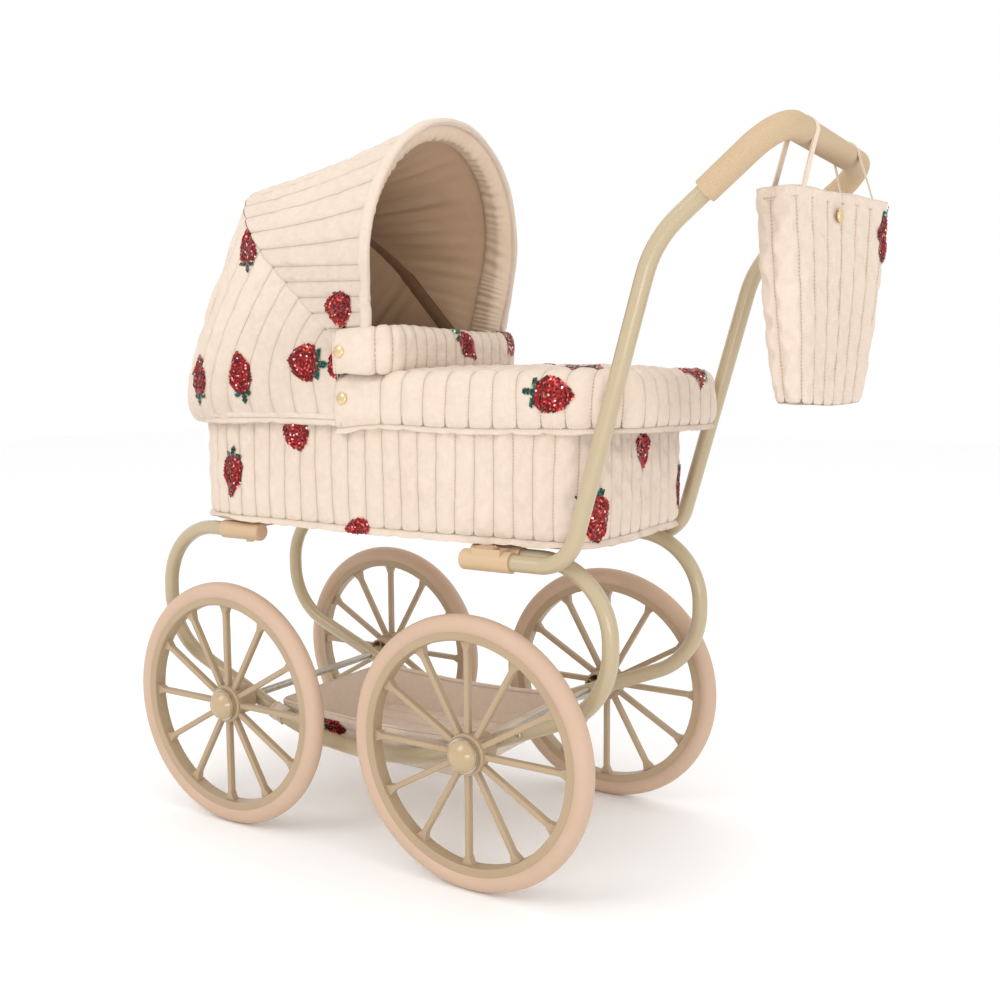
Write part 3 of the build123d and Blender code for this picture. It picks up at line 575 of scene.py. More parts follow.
band_line = foot_line(apron_high.y - 0.0012, apron_low.x + 0.001, apron_high.x, APRON_CORNER)
band_length = length_of(band_line)
band_channels = round(band_length / 0.0245)
pitch = band_length / band_channels
upright = apron_high.z - apron_low.z - APRON_ROUND
over = np.linspace(0, np.pi / 2, 7)[1:]
up_line = np.r_[0.0, 0.0022, 0.0045, np.linspace(0.0085, upright, 9), upright + over * APRON_ROUND]
up_line = np.r_[up_line, up_line[-1] + 0.0025]
u, v = np.meshgrid(np.linspace(0, band_length, band_channels * CELLS + 1), up_line, indexing="ij")
lean = 0.012 * np.clip(v / up_line[-1], 0, 1) ** 2 * np.sin(np.pi * u / band_length)
flat = along(band_line, np.clip(u + 0.0012 * np.sin(u * 37 + v * 60) * np.sin(np.pi * u / band_length), 0, band_length).reshape(-1)).reshape(u.shape + (2,))
band = np.concatenate([flat, np.zeros(u.shape + (1,))], -1)
sideways = facing(np.concatenate([flat, v[..., None]], -1))
turn = np.clip((v - upright) / APRON_ROUND, 0, np.pi / 2)
inset = APRON_ROUND * (1 - np.cos(turn)) + np.clip(v - up_line[-2], 0, None)
band = band - sideways * inset[..., None]
near_end = np.minimum(u, band_length - u)
hem_wave = (0.0012 * np.sin(u * 26 + np.sin(u * 11)) - 0.004 * np.exp(-(near_end / 0.035) ** 2)) * np.clip(1 - v / 0.03, 0, 1)
band[..., 2] = apron_low.z + np.minimum(v, upright) + APRON_ROUND * np.sin(turn) + hem_wave
flare = 0.0062 * np.clip(1 - near_end / 0.042, 0, 1) ** 0.8
band = band + sideways * (flare * (1 - np.clip(v / upright - 0.9, 0, 1)))[..., None]
band = band + sideways * (0.0016 * np.sin(np.pi * np.clip(v / upright, 0, 1)))[..., None]
def plain_ends(lines, length, plain):
    """Seam places with none in the flap at each end, but for one row just inside its edge."""
    return [0.0024] + [line for line in lines if plain < line < length - plain] + [length - 0.0024]


apron_band = sew("apron_band", band, u, v, plain_ends(np.arange(band_channels + 1) * pitch, band_length, 0.030), [up_line[2], up_line[-1]], pitch / 2,
                 0.0042, 0.0022, edges=("first", "last", "high"), slack=0.03, cap=0.004, hem=up_line[2] - 1e-4)
top_inset = inset[0, -1]
top_rear, top_front, top_half = apron_low.x + 0.001 + top_inset, 0.056, apron_high.y - 0.0012 - top_inset
top_corner = APRON_CORNER - top_inset
top_channels = round((top_front - top_rear) / 0.024)
pitch = (top_front - top_rear) / top_channels
u, v = np.meshgrid(np.linspace(0, top_front - top_rear, top_channels * CELLS + 1), np.linspace(-top_half, top_half, 57), indexing="ij")
short = np.clip(top_corner - u, 0, None)
width = top_half - top_corner + np.sqrt(np.clip(top_corner ** 2 - short ** 2, 0, None))
across = v / top_half
crown = (1 - across ** 2) * np.clip(u / 0.05, 0, 1)
panel = np.stack([top_rear + u + 0.0015 * np.sin(v * 60), across * width, apron_high.z - 0.0006 + 0.0035 * crown], -1)
apron_top = sew("apron_top", panel, u, v, np.arange(top_channels + 1) * pitch, [v[0, 0], v[0, -1]], pitch / 2,
                0.0042, 0.0026, edges=("first", "last", "low", "high"), cap=0.004)
for piece in (apron_band, apron_top):
    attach(piece, "chassis")
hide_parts("apron")

# ---- cuff ----------------------------------------------------------------------------------------
# A padded roll that stands across the cot in front of the hood, sewn in narrow channels over its top.
# Its two flat wings run forward along the sides and close on press studs.
cuff_low, cuff_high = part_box("cuff")
CUFF_CORNER = 0.026
cuff_line = foot_line(cuff_high.y, cuff_low.x, cuff_high.x, CUFF_CORNER)
cuff_length = length_of(cuff_line)
cuff_channels = round(cuff_length / 0.0165)
pitch = cuff_length / cuff_channels
u, v = np.meshgrid(np.linspace(0, cuff_length, cuff_channels * CELLS + 1), np.linspace(0, 0.1, 41)[:-1], indexing="ij")
from_end = np.minimum(u, cuff_length - u)
fill = np.clip((from_end - 0.030) / 0.045, 0, 1) ** 2 * (3 - 2 * np.clip((from_end - 0.030) / 0.045, 0, 1))
body_thick = 0.0046 + 0.0154 * fill
turn = v / 0.1 * 2 * np.pi - np.pi / 2
squared = np.sign(np.cos(turn)) * np.abs(np.cos(turn)) ** 0.75
crest = cuff_high.z - 0.0035 * (1 - np.clip(from_end / 0.06, 0, 1)) + 0.0012 * np.sin(u * 21)
foot_z = cuff_low.z - 0.0015
height = (crest + foot_z) / 2 + (crest - foot_z) / 2 * np.sign(np.sin(turn)) * np.abs(np.sin(turn)) ** 0.8
flat = along(cuff_line, u.reshape(-1)).reshape(u.shape + (2,))
sideways = facing(np.concatenate([flat, (turn * 0.01)[..., None]], -1))
sideways = np.repeat(sideways[:, 10:11], u.shape[1], 1)
roll = np.concatenate([flat, np.zeros(u.shape + (1,))], -1) + sideways * (-body_thick / 2 * (1 - squared) + 0.001 * fill)[..., None]
roll[..., 2] = height
cuff = sew("cuff_roll", roll, u, v, plain_ends(np.arange(cuff_channels + 1) * pitch, cuff_length, 0.036), [], pitch / 2, 0.0016, 0.0017, 0.0008,
           wrap_v=True, edges=("first", "last"), slack=0.03, cap=0.003)
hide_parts("cuff")
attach(cuff, "chassis")


# ---- hood covers ---------------------------------------------------------------------------------
# Quilted cloth over two round bows hinged at the cot's sides: a top panel from the opening back to the
# second bow, sewn fore and aft, and a back panel sewn in a fan down to a bound skirt round the cot.
pin_low, pin_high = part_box("hood_pivot_pins")
pivot = np.array([(pin_low.x + pin_high.x) / 2, 0.0, (pin_low.z + pin_high.z) / 2])
FRONT, BOW = (96.3, 0.127, 0.102, 7.5, -0.0316), (101.0, 0.1245, 0.1015, 5.0, 0.0)
MIDDLE, LOWER = (46.0, 0.120, 0.130, 4.0, 0.0), (-6.0, 0.122, 0.162, 2.0, 0.0)
LEG_START, LEG_SHARE = 0.012, 0.2


def hoop(angle, radius, centre, lean, reach, share, inset=0.0, depth=0.0, start=LEG_START):
    """Points on a round bow's outline in its own plane, from the left foot over the top to the right.
    inset moves them in from the cloth's outside, depth along the plane's normal towards the back."""
    turn, tilt = math.radians(angle), math.radians(lean)
    radius = radius - inset
    touch = np.array([radius * math.cos(tilt), centre - radius * math.sin(tilt)])
    foot = np.array([touch[0] - (touch[1] - start) * math.tan(tilt), start])
    mirrored = np.where(share > 0.5, 1 - share, share)
    side = np.where(share > 0.5, -1.0, 1.0)
    leg = np.clip(mirrored / LEG_SHARE, 0, 1)[..., None]
    sweep = -tilt + (np.pi / 2 + tilt) * np.clip((mirrored - LEG_SHARE) / (0.5 - LEG_SHARE), 0, 1)
    round_part = np.stack([radius * np.cos(sweep), centre + radius * np.sin(sweep)], -1)
    flat = np.where(mirrored[..., None] < LEG_SHARE, foot + (touch - foot) * leg, round_part)
    away = np.array([math.cos(turn), 0.0, math.sin(turn)])
    back = np.array([math.sin(turn), 0.0, -math.cos(turn)])
    return pivot + (side * flat[..., 0])[..., None] * (0, 1, 0) + flat[..., 1:2] * away + back * (np.asarray(depth) + reach)[..., None]


hood_channels = 26
hood_arc = 0.60
pitch = hood_arc / hood_channels
u_line = np.linspace(0, hood_arc, hood_channels * CELLS + 1)
u, v = np.meshgrid(u_line, np.linspace(0, 0.19, 38), indexing="ij")
share, reach = u / hood_arc, v / 0.19
front, back = hoop(*FRONT, share, 0.0012, 0.0085), hoop(*MIDDLE, share, 0.0012)
top = front + (back - front) * reach[..., None]
high_up = np.sin(np.pi * np.clip(share, 0, 1))
top = top - facing(top) * (0.0045 * np.sin(np.pi * reach) * high_up)[..., None]
hood_top = sew("hood_top_panel", top, u, v, np.arange(hood_channels + 1) * pitch, [], pitch / 2, 0.0036, 0.0021,
               edges=("first", "last", "low", "high"), cap=0.004)
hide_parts("hood_top_cover")
u, v = np.meshgrid(u_line, np.r_[np.linspace(0, 0.205, 38), np.linspace(0.2105, 0.245, 8)], indexing="ij")
share = u / hood_arc
upper, lower = hoop(*MIDDLE, share, 0.0012), hoop(*LOWER, share, 0.0012)
skirt_half, skirt_centre, skirt_z = 0.1138, 0.145, 0.412
skirt = hoop(0.0, skirt_half, skirt_centre, 0.001, 0.0, share, start=0.002)
skirt[..., 2] = skirt_z + 0.0012 * np.sin(u * 24)
step = (v / v[0, -1])[..., None]
bulge = lower + (lower - (upper + skirt) / 2) * 0.55
rear_face = upper * (1 - step) ** 2 + 2 * bulge * step * (1 - step) + skirt * step ** 2
hood_back = sew("hood_back_panel", rear_face, u, v, np.arange(hood_channels + 1) * pitch, [v[0, -1]], pitch / 2, 0.0036,
                0.0021, edges=("first", "last", "low", "high"), cap=0.004)
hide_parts("hood_back_cover")
band_u, band_v = np.meshgrid(u_line, np.linspace(0, 0.030, 17)[:-1], indexing="ij")
turn = band_v / 0.030 * 2 * np.pi - np.pi / 2
skirt_path = hoop(0.0, skirt_half, skirt_centre, 0.001, 0.0, band_u / hood_arc, start=0.002)
skirt_out = facing(np.concatenate([skirt_path[..., :2], (turn * 0.01)[..., None]], -1))
skirt_out = np.repeat(skirt_out[:, 8:9], 16, 1) * np.where(band_u < 0, 1, 1)[..., None]
binding = skirt_path + skirt_out * (0.0030 * np.sign(np.cos(turn)) * np.abs(np.cos(turn)) ** 0.6)[..., None]
binding[..., 2] = skirt_z + 0.0038 + 0.0012 * np.sin(band_u * 24) + 0.0056 * np.sin(turn)
hood_binding = sew("hood_skirt_binding", binding, band_u, band_v, [], [band_v[0, 12]], 0.006, 0.0009, 0.0006, 0.0003,
                   wrap_v=True, edges=("first", "last"), slack=0.02, cap=0.0012)
hem_u, hem_v = np.meshgrid(u_line, np.linspace(0, 0.036, 21)[:-1], indexing="ij")
turn = hem_v / 0.036 * 2 * np.pi - np.pi / 2
hem_inset = 0.0022 - 0.0030 * np.sign(np.cos(turn)) * np.abs(np.cos(turn)) ** 0.6
hem = np.stack([hoop(*FRONT, hem_u[:, k] / hood_arc, hem_inset[0, k], 0.0050 + 0.0056 * math.sin(turn[0, k])) for k in range(20)], 1)
hood_hem = sew("hood_opening_hem", hem, hem_u, hem_v, [], [hem_v[0, 13], hem_v[0, 15]], 0.006, 0.0009, 0.0006, 0.0003,
               wrap_v=True, edges=("first", "last"), slack=0.02, cap=0.0012)

# ---- hood lining ---------------------------------------------------------------------------------
# Plain cotton inside, a darker biscuit brown than the cream outside, partly its own colour and partly
# painted shade for the hood's shaded inside: a gathered sleeve round the opening's bow, a top and a back
# lining that sag in soft folds, and a darker casing tape sewn over the second bow.
satin = Finish("gathered_sleeve_cloth", Roughness=0.5, Sheen_Weight=0.2)
satin.set("Base Color", satin.mix(satin.cloud(20.0), srgb(205, 181, 157), srgb(217, 195, 171)))
satin.relief(satin.cloud(90.0, 3.0) + 0.2 * satin.cloud(900.0), 0.0010)
casing_cloth = Finish("brown_casing_tape", Roughness=0.75)
casing_cloth.set("Base Color", casing_cloth.mix(casing_cloth.cloud(120.0), srgb(120, 92, 68), srgb(142, 112, 86)))
casing_cloth.relief(casing_cloth.cloud(500.0, 3.0), 0.0006)


def backed(points, thick, name, finish, size, out=-1.0, smooth=1):
    """A plain cloth sheet with a thin back, its cloth map laid out at its cut size."""
    out_way = facing(points) * out
    far = np.full(points.shape[:2], 1.0)
    lengths = np.meshgrid(np.linspace(0, size[0], points.shape[0]), np.linspace(0, size[1], points.shape[1]), indexing="ij")
    obj = layered(name, points, points - out_way * thick, False, False, lengths, far, lengths[0], smooth)
    if out < 0:
        obj.data.flip_normals()
    finish.paint(obj)
    return obj


share_line = np.linspace(0, 1, 221)
rows = []
for k in range(19):
    part = k / 18
    hem_side = hoop(*FRONT, share_line, 0.0036 + 0.0110 * min(1.0, part * 2.4), 0.0030 + 0.004 * part)
    bow_side = hoop(*BOW, share_line, 0.0146 - 0.0040 * max(0.0, part - 0.72) / 0.28, 0.0110 * part - 0.001)
    ring = hem_side + (bow_side - hem_side) * min(1.0, part * 1.25) ** 1.4
    ripple = np.sin(share_line * 430 + 3 * np.sin(share_line * 61) + 3.0 * part) + 0.5 * np.sin(share_line * 911 + 2)
    inward = pivot + np.array([-0.03, 0, 0.105]) - ring
    inward /= np.linalg.norm(inward, axis=-1, keepdims=True)
    rows.append(ring + inward * (0.0016 * ripple * math.sin(np.pi * part) + 0.0012 * math.sin(np.pi * part))[:, None])
hood_sleeve = backed(np.stack(rows, 1), 0.0008, "hood_opening_sleeve", satin, (0.60, 0.042))


def lining(name, first, last, count, sag, size):
    grid = np.stack([first + (last - first) * step for step in np.linspace(0, 1, count)], 1)
    part = np.linspace(0, 1, count)[None, :]
    folds = 0.0022 * np.sin(part * 6.0 + share_line[:, None] * 95 + 2.5 * np.sin(share_line[:, None] * 31))
    folds = folds + 0.0012 * np.sin(share_line[:, None] * 211 + part * 11.0)
    pull = (sag + folds * (0.4 + 0.6 * np.sin(share_line * np.pi)[:, None])) * np.sin(np.pi * part) * np.sin(np.pi * np.clip(share_line, 0.03, 0.97))[:, None]
    return backed(grid - facing(grid) * pull[..., None], 0.0008, name, cotton, size)


top_lining = lining("hood_top_lining", hoop(*BOW, share_line, 0.0110, 0.0095), hoop(*MIDDLE, share_line, 0.0145), 40, 0.0075, (0.57, 0.21))
back_lining = lining("hood_back_lining", hoop(*MIDDLE, share_line, 0.0145), hoop(*LOWER, share_line, 0.0125), 40, 0.007, (0.645, 0.225))
casing = np.stack([hoop(*MIDDLE, share_line, 0.0146 + 0.0016 * math.cos((k - 3) / 3 * 1.4), (k - 3) / 3 * 0.0075) for k in range(7)], 1)
hood_casing = backed(casing, 0.0010, "hood_bow_casing", casing_cloth, (0.568, 0.016))
for piece in (hood_hem, hood_sleeve):
    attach(piece, "hood_front")
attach(hood_casing, "hood_mid")


def hinge_blend(piece, from_fixed):
    """Bakes a cover's placement into its mesh, the same for both values of from_fixed."""
    if from_fixed:
        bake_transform(piece)
    else:
        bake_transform(piece)


for piece in (hood_top, top_lining):
    hinge_blend(piece, False)
for piece in (hood_back, back_lining, hood_binding):
    hinge_blend(piece, True)

# ---- press studs ---------------------------------------------------------------------------------
# Pale gold press studs with a slightly domed cap hold cuff, apron, basket and bag.
gold = Finish("pale_gold_stud", Metallic=1.0, Roughness=0.26)
gold.set("Base Color", gold.mix(gold.cloud(150.0), srgb(214, 186, 142), srgb(236, 212, 172)))
gold.set("Roughness", 0.2 + 0.16 * gold.cloud(400.0))
for name in ("basket_snaps", "bag_snap"):
    gold.paint(cad[name])
snap_low, snap_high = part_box("cot_snaps")
snap_x = (snap_low.x + snap_high.x) / 2
for level, carrier, z in (("upper", cuff, snap_high.z - 0.006), ("lower", apron_band, snap_low.z + 0.006)):
    corners = [v.co.copy() for v in carrier.data.vertices]
    skin = BVHTree.FromPolygons(corners, [list(face.vertices) for face in carrier.data.polygons])
    for word, side in (("left", 1.0), ("right", -1.0)):
        hit = skin.ray_cast(Vector((snap_x, side * 0.2, z)), Vector((0.0, -side, 0.0)))[0]
        bpy.ops.object.select_all(action="DESELECT")
        bpy.ops.mesh.primitive_cylinder_add(vertices=40, radius=0.0060, depth=0.0016, rotation=(math.pi / 2, 0, 0))
        bpy.context.object.location = hit + Vector((0.0, side * 0.0002, 0.0))
        rim = bpy.context.object
        bpy.ops.mesh.primitive_uv_sphere_add(segments=40, ring_count=16, radius=0.0053)
        dome = bpy.context.object
        dome.scale = (1.0, 0.34, 1.0)
        dome.location = hit + Vector((0.0, side * 0.0007, 0.0))
        rim.select_set(True)
        bpy.context.view_layer.objects.active = rim
        bpy.ops.object.transform_apply(location=False, rotation=True, scale=True)
        bpy.ops.object.join()
        rim.name = f"cot_snap_{level}_{word}"
        bpy.ops.object.transform_apply(location=True, rotation=True, scale=True)
        soften = rim.modifiers.new("bevel", "BEVEL")
        soften.width, soften.segments, soften.limit_method = 0.0004, 2, "ANGLE"
        rim.data.polygons.foreach_set("use_smooth", np.ones(len(rim.data.polygons), bool))
        gold.paint(rim)
        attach(rim, "chassis")
        if level == "upper" and side > 0:
            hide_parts("cot_snaps")


# ---- basket --------------------------------------------------------------------------------------
# A shallow quilted tray slung between the lower bows on four sewn loops, with a bound rim.
basket_low, basket_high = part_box("basket")
bow_low, bow_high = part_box("lower_bow_left")
basket_x = (basket_low.x + basket_high.x) / 2
bow_y = (bow_low.y + bow_high.y) / 2
BASKET_FLOOR, BASKET_MOUTH, RIM_Z = (0.196, 0.156), (0.250, 0.1755), 0.1195
LOOP_X, LOOP_Z, LOOP_SLOPE = 0.112, 0.11047, math.radians(20.5)


def tray_line(size, corner, count):
    half_x, half_y = size[0] / 2, size[1] / 2
    line = np.concatenate([
        [[-half_x, 0.0]],
        arc((-half_x + corner, -half_y + corner), corner, 180, 270, 30),
        arc((half_x - corner, -half_y + corner), corner, -90, 0, 30),
        arc((half_x - corner, half_y - corner), corner, 0, 90, 30),
        arc((-half_x + corner, half_y - corner), corner, 90, 180, 30),
        [[-half_x, 0.0]],
    ])
    return along(line, np.linspace(0, length_of(line), count + 1)[:-1])


def tray(count, rise, floor_size, mouth_size, corner, low, high):
    share = np.asarray(rise)[None, :, None]
    flat = tray_line(floor_size, corner, count)[:, None] * (1 - share) + tray_line(mouth_size, corner, count)[:, None] * share
    z = np.broadcast_to(low + (high - low) * share, flat.shape[:2] + (1,))
    return np.concatenate([flat, z], -1)


rise = np.linspace(0, 1, 13)
walls = tray(240, rise, BASKET_FLOOR, BASKET_MOUTH, 0.014, basket_low.z + 0.001, RIM_Z)
walls[..., 0] += basket_x
u, v = np.meshgrid(np.linspace(0, 0.78, 240), rise * 0.052, indexing="ij")
dip = np.abs(walls[..., 0] - basket_x) < LOOP_X
walls[..., 2] -= 0.0045 * np.sin(np.pi * np.clip((walls[..., 0] - basket_x + LOOP_X) / (2 * LOOP_X), 0, 1)) * rise * dip
basket_wall = sew("basket_wall", walls, u, v, [], [v[0, 0], v[0, 4], v[0, 8], v[0, 11]], 0.0085, 0.0022, 0.0016, 0.0006,
                  wrap_u=True, edges=("low", "high"), cap=0.002)
u, v = np.meshgrid(np.linspace(0, 0.194, 49), np.linspace(0, 0.154, 43), indexing="ij")
base = np.stack([basket_x - 0.097 + u, v - 0.077, basket_low.z + 0.0030 - 0.002 * np.sin(np.pi * u / 0.194) * np.sin(np.pi * v / 0.154)], -1)
basket_floor = sew("basket_floor", base, u, v, [], list(v[0, ::6]), 0.011, 0.0020, 0.0015, 0.0006,
                   edges=("first", "last", "low", "high"), cap=0.002)
loops = []
for end in (-1, 1):
    for side in (-1, 1):
        turns, wide = 40, 7
        ring = np.empty((wide, turns, 3))
        for w in range(wide):
            place = (w / (wide - 1) - 0.5) * 0.017
            around = np.linspace(0, 2 * np.pi, turns, endpoint=False)
            radius = 0.0089 + 0.0004 * np.sin(around * 3 + w)
            ring[w, :, 0] = basket_x + end * LOOP_X + place * math.cos(LOOP_SLOPE) - end * radius * np.sin(around) * math.sin(LOOP_SLOPE)
            ring[w, :, 1] = side * bow_y + radius * np.cos(around)
            ring[w, :, 2] = LOOP_Z + end * place * math.sin(LOOP_SLOPE) + radius * np.sin(around) * math.cos(LOOP_SLOPE)
        out = facing(ring, False, True)
        lu, lv = np.meshgrid(np.linspace(0, 0.017, wide), np.linspace(0, 0.055, turns), indexing="ij")
        gap, run = channels(lu, lv, [lu[1, 0], lu[-2, 0]], [])
        middle_of = ring.mean((0, 1))
        sign = np.sign(((ring - middle_of) * out).sum(-1).mean())
        loop = layered(f"basket_loop_{'front' if end > 0 else 'rear'}_{'left' if side > 0 else 'right'}", ring, ring + out * -0.0010 * sign, False, True, (lu, lv), gap, run)
        if sign < 0:
            loop.data.flip_normals()
        quilt.paint(loop)
        loops.append(loop)
        tab_u, tab_v = np.meshgrid(np.linspace(-0.0085, 0.0085, 9), np.linspace(0, 1, 7), indexing="ij")
        tab_y = side * (BASKET_MOUTH[1] / 2 - 0.001 + (bow_y - 0.0085 - BASKET_MOUTH[1] / 2) * tab_v)
        tab = np.stack([basket_x + end * LOOP_X + tab_u, tab_y, LOOP_Z + end * tab_u * 0.37 + 0.0012 * np.sin(tab_v * 3) + 0.0007], -1)
        gap, run = channels(tab_u, tab_v, [tab_u[1, 0], tab_u[-2, 0]], [])
        strip = layered(loop.name + "_tab", tab, tab - (0, 0, 0.0016), False, False, (tab_u, tab_v * 0.01), gap, run)
        if side < 0:
            strip.data.flip_normals()
        quilt.paint(strip)
        loops.append(strip)
rim_u, rim_v = np.meshgrid(np.linspace(0, 0.82, 240), np.linspace(0, 0.018, 13)[:-1], indexing="ij")
turn = rim_v / 0.018 * 2 * np.pi - np.pi / 2
rim = np.repeat(walls[:, -1:], 12, 1)
rim_out = facing(np.concatenate([rim[..., :2], (turn * 0.01)[..., None]], -1), True)
rim_out = np.repeat(rim_out[:, 6:7], 12, 1)
rim = rim + rim_out * (-0.0011 + 0.0021 * np.sign(np.cos(turn)) * np.abs(np.cos(turn)) ** 0.6)[..., None]
rim[..., 2] += -0.0030 + 0.0042 * np.sin(turn)
gap, run = channels(rim_u, rim_v, [], [rim_v[0, 9]])
rim_back = rim - facing(rim, True, True) * 0.0006
basket_rim = layered("basket_rim_binding", rim, rim_back, True, True, (rim_u, rim_v), gap, run, 1)
quilt.paint(basket_rim)
for piece in [basket_wall, basket_floor, basket_rim] + loops:
    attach(piece, "chassis")
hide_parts("basket")

# ---- hanging bag ---------------------------------------------------------------------------------
# A soft tapered bag of the same quilting, with a bound rim, hung from the bar on two tape loops. It
# hangs a little askew, as a light bag does.
bag_low, bag_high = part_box("bag")
grip_low, grip_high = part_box("handle_grip")
bag_x, bag_y = (bag_low.x + bag_high.x) / 2, (bag_low.y + bag_high.y) / 2
BAG_FLOOR, BAG_MOUTH, BAG_TURN = (0.026, 0.096), (0.0315, 0.1485), math.radians(-17.0)


def askew(points):
    """Turns points about the bag's own upright middle line."""
    x, y = points[..., 0] - bag_x, points[..., 1] - bag_y
    turned = points.copy()
    turned[..., 0] = bag_x + x * math.cos(BAG_TURN) - y * math.sin(BAG_TURN)
    turned[..., 1] = bag_y + x * math.sin(BAG_TURN) + y * math.cos(BAG_TURN)
    return turned


bag_channels = 16
rise = np.linspace(0, 1, 44)
bag_grid = tray(bag_channels * 8, rise, BAG_FLOOR, BAG_MOUTH, 0.011, bag_low.z, bag_high.z)
bag_grid[..., 0] += bag_x
bag_grid[..., 1] += bag_y
belly = np.sin(np.pi * rise)[None, :]
bag_grid[..., 2] -= 0.0018 * np.cos((bag_grid[..., 1] - bag_y) * 42) * (rise < 0.05)
bag_grid = bag_grid + facing(bag_grid, True) * (0.0025 * belly)[..., None]
bag_grid = askew(bag_grid)
u, v = np.meshgrid(np.linspace(0, 0.30, bag_channels * 8, endpoint=False), rise * 0.167, indexing="ij")
pitch = 0.30 / bag_channels
bag = sew("bag_body", bag_grid, u, v, np.arange(bag_channels + 1) * pitch, [v[0, 0]], pitch / 2, 0.0026, 0.0021, 0.0008,
          wrap_u=True, edges=("low", "high"), slack=0.05, pressure=0.9, cap=0.004)
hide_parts("bag")
bag_foot_line = tray_line((BAG_FLOOR[0] - 0.002, BAG_FLOOR[1] - 0.002), 0.010, 96)
foot = disc_grid(bag_foot_line, 7, bag_low.z + 0.0004, -0.0012, 0.0)
foot[..., 0] += bag_x
foot[..., 1] += bag_y
foot = askew(foot)
u, v = np.meshgrid(np.linspace(0, 0.2, 96), np.linspace(0, 0.05, 7), indexing="ij")
bag_foot = layered("bag_foot", foot, foot + (0, 0, 0.0022), True, False, (u, v), np.full(u.shape, 1.0), u, 0)
quilt.paint(bag_foot)
rim_u, rim_v = np.meshgrid(np.linspace(0, 0.34, bag_channels * 8), np.linspace(0, 0.026, 17)[:-1], indexing="ij")
turn = rim_v / 0.026 * 2 * np.pi - np.pi / 2
rim = np.repeat(bag_grid[:, -1:], 16, 1)
rim_out = facing(np.concatenate([rim[..., :2], (turn * 0.01)[..., None]], -1), True)
rim_out = np.repeat(rim_out[:, 8:9], 16, 1)
rim = rim + rim_out * (-0.0012 + 0.0026 * np.sign(np.cos(turn)) * np.abs(np.cos(turn)) ** 0.6)[..., None]
rim[..., 2] += -0.0042 + 0.0054 * np.sin(turn) + 0.0008 * np.sin(rim_u * 90)
gap, run = channels(rim_u, rim_v, [], [rim_v[0, 2], rim_v[0, 13]])
bag_rim = layered("bag_rim_binding", rim, rim - facing(rim, True, True) * 0.0008, True, True, (rim_u, rim_v), gap, run, 1)
quilt.paint(bag_rim)
tape = Finish("cotton_tape", Roughness=0.7)
tape.set("Base Color", tape.mix(tape.cloud(80.0), srgb(220, 198, 178), srgb(232, 212, 194)))
tape.relief(tape.cloud(1200.0, 2.0) + 0.4 * tape.cloud(120.0), 0.0005)
bar_x, bar_z, bar_radius = (grip_low.x + bag_x * 0 + 0.0105), grip_high.z - 0.0105, 0.0105
straps = []
for number, side in enumerate((1, -1)):
    foot_y = side * 0.054
    ends = askew(np.array([[bag_x - 0.0150, bag_y + foot_y, bag_high.z - 0.010], [bag_x + 0.0150, bag_y + foot_y, bag_high.z - 0.010]]))
    bend = np.radians(np.linspace(180, 0, 23))
    over_bar = np.stack([bar_x + (bar_radius + 0.0009) * np.cos(bend), np.full(23, bag_y + side * 0.060), bar_z + (bar_radius + 0.0009) * np.sin(bend)], -1)
    rise_steps = np.linspace(0, 1, 14)[:-1, None]
    climb = ends[0] + (over_bar[0] - ends[0]) * rise_steps
    climb[:, 1] += side * 0.0015 * np.sin(np.pi * rise_steps[:, 0])
    descend = over_bar[-1] + (ends[1] - over_bar[-1]) * (1 - rise_steps[::-1])
    line = np.concatenate([climb, over_bar, descend])
    width_way = np.array([0.12 * side, 1.0, 0.0]) / math.hypot(1.0, 0.12)
    grid = line[:, None] + width_way * np.linspace(-0.0036, 0.0036, 5)[None, :, None]
    out = facing(grid)
    outward = np.sign((out[23 + 2, 2] * (0, 0, 1)).sum())
    lu, lv = np.meshgrid(np.linspace(0, 0.12, len(line)), np.linspace(0, 0.0072, 5), indexing="ij")
    strap = layered(f"bag_strap_{number}", grid, grid + out * 0.0011 * -outward, False, False, (lu, lv), np.full(lu.shape, 1.0), lu, 1)
    if outward < 0:
        strap.data.flip_normals()
    tape.paint(strap)
    straps.append(strap)
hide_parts("bag_straps")
for piece in [bag, bag_foot, bag_rim] + straps:
    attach(piece, "hanging_bag")

# ---- sequin strawberries -------------------------------------------------------------------------
# Strawberries of small overlapping sequins are sewn on all over: metallic red rows inside an uneven
# outline, and a star of green leaves. Each sequin lies at its own slight tilt, so some catch the light;
# its colour follows its tone, a random shade of red, paler along rings, with painted glints at the top end.
red = Finish("red_sequins", Metallic=1.0, Roughness=0.22, Coat_Weight=0.4, Coat_Roughness=0.05)
tone_and_glint = Level(red, red.node("ShaderNodeAttribute", {"attribute_name": "tone_and_glint"}).outputs["Fac"])
flash = red.mix(red.between(tone_and_glint, 0.05, 0.75), srgb(88, 16, 24), srgb(176, 38, 40))
# painted highlight: sequins of high tone are coloured bright orange-red, the highest near-white pink, as painted glints
flash = red.mix(red.between(tone_and_glint, 0.78, 0.9), flash, srgb(240, 122, 92))
red.set("Base Color", red.mix(tone_and_glint > 0.965, flash, srgb(255, 226, 216)))
red.set("Roughness", 0.14 + 0.2 * (1.0 - tone_and_glint))
green = Finish("green_sequins", Metallic=1.0, Roughness=0.25, Coat_Weight=0.4, Coat_Roughness=0.05)
tone_and_glint = Level(green, green.node("ShaderNodeAttribute", {"attribute_name": "tone_and_glint"}).outputs["Fac"])
flash = green.mix(green.between(tone_and_glint, 0.1, 0.9), srgb(22, 52, 46), srgb(54, 108, 92))
# painted highlight: the green sequins of highest tone are coloured pale teal as painted glints
green.set("Base Color", green.mix(tone_and_glint > 0.95, flash, srgb(120, 214, 190)))
SEQUIN, SEQUIN_PITCH = 0.00118, 0.00178
chance = np.random.default_rng(7)


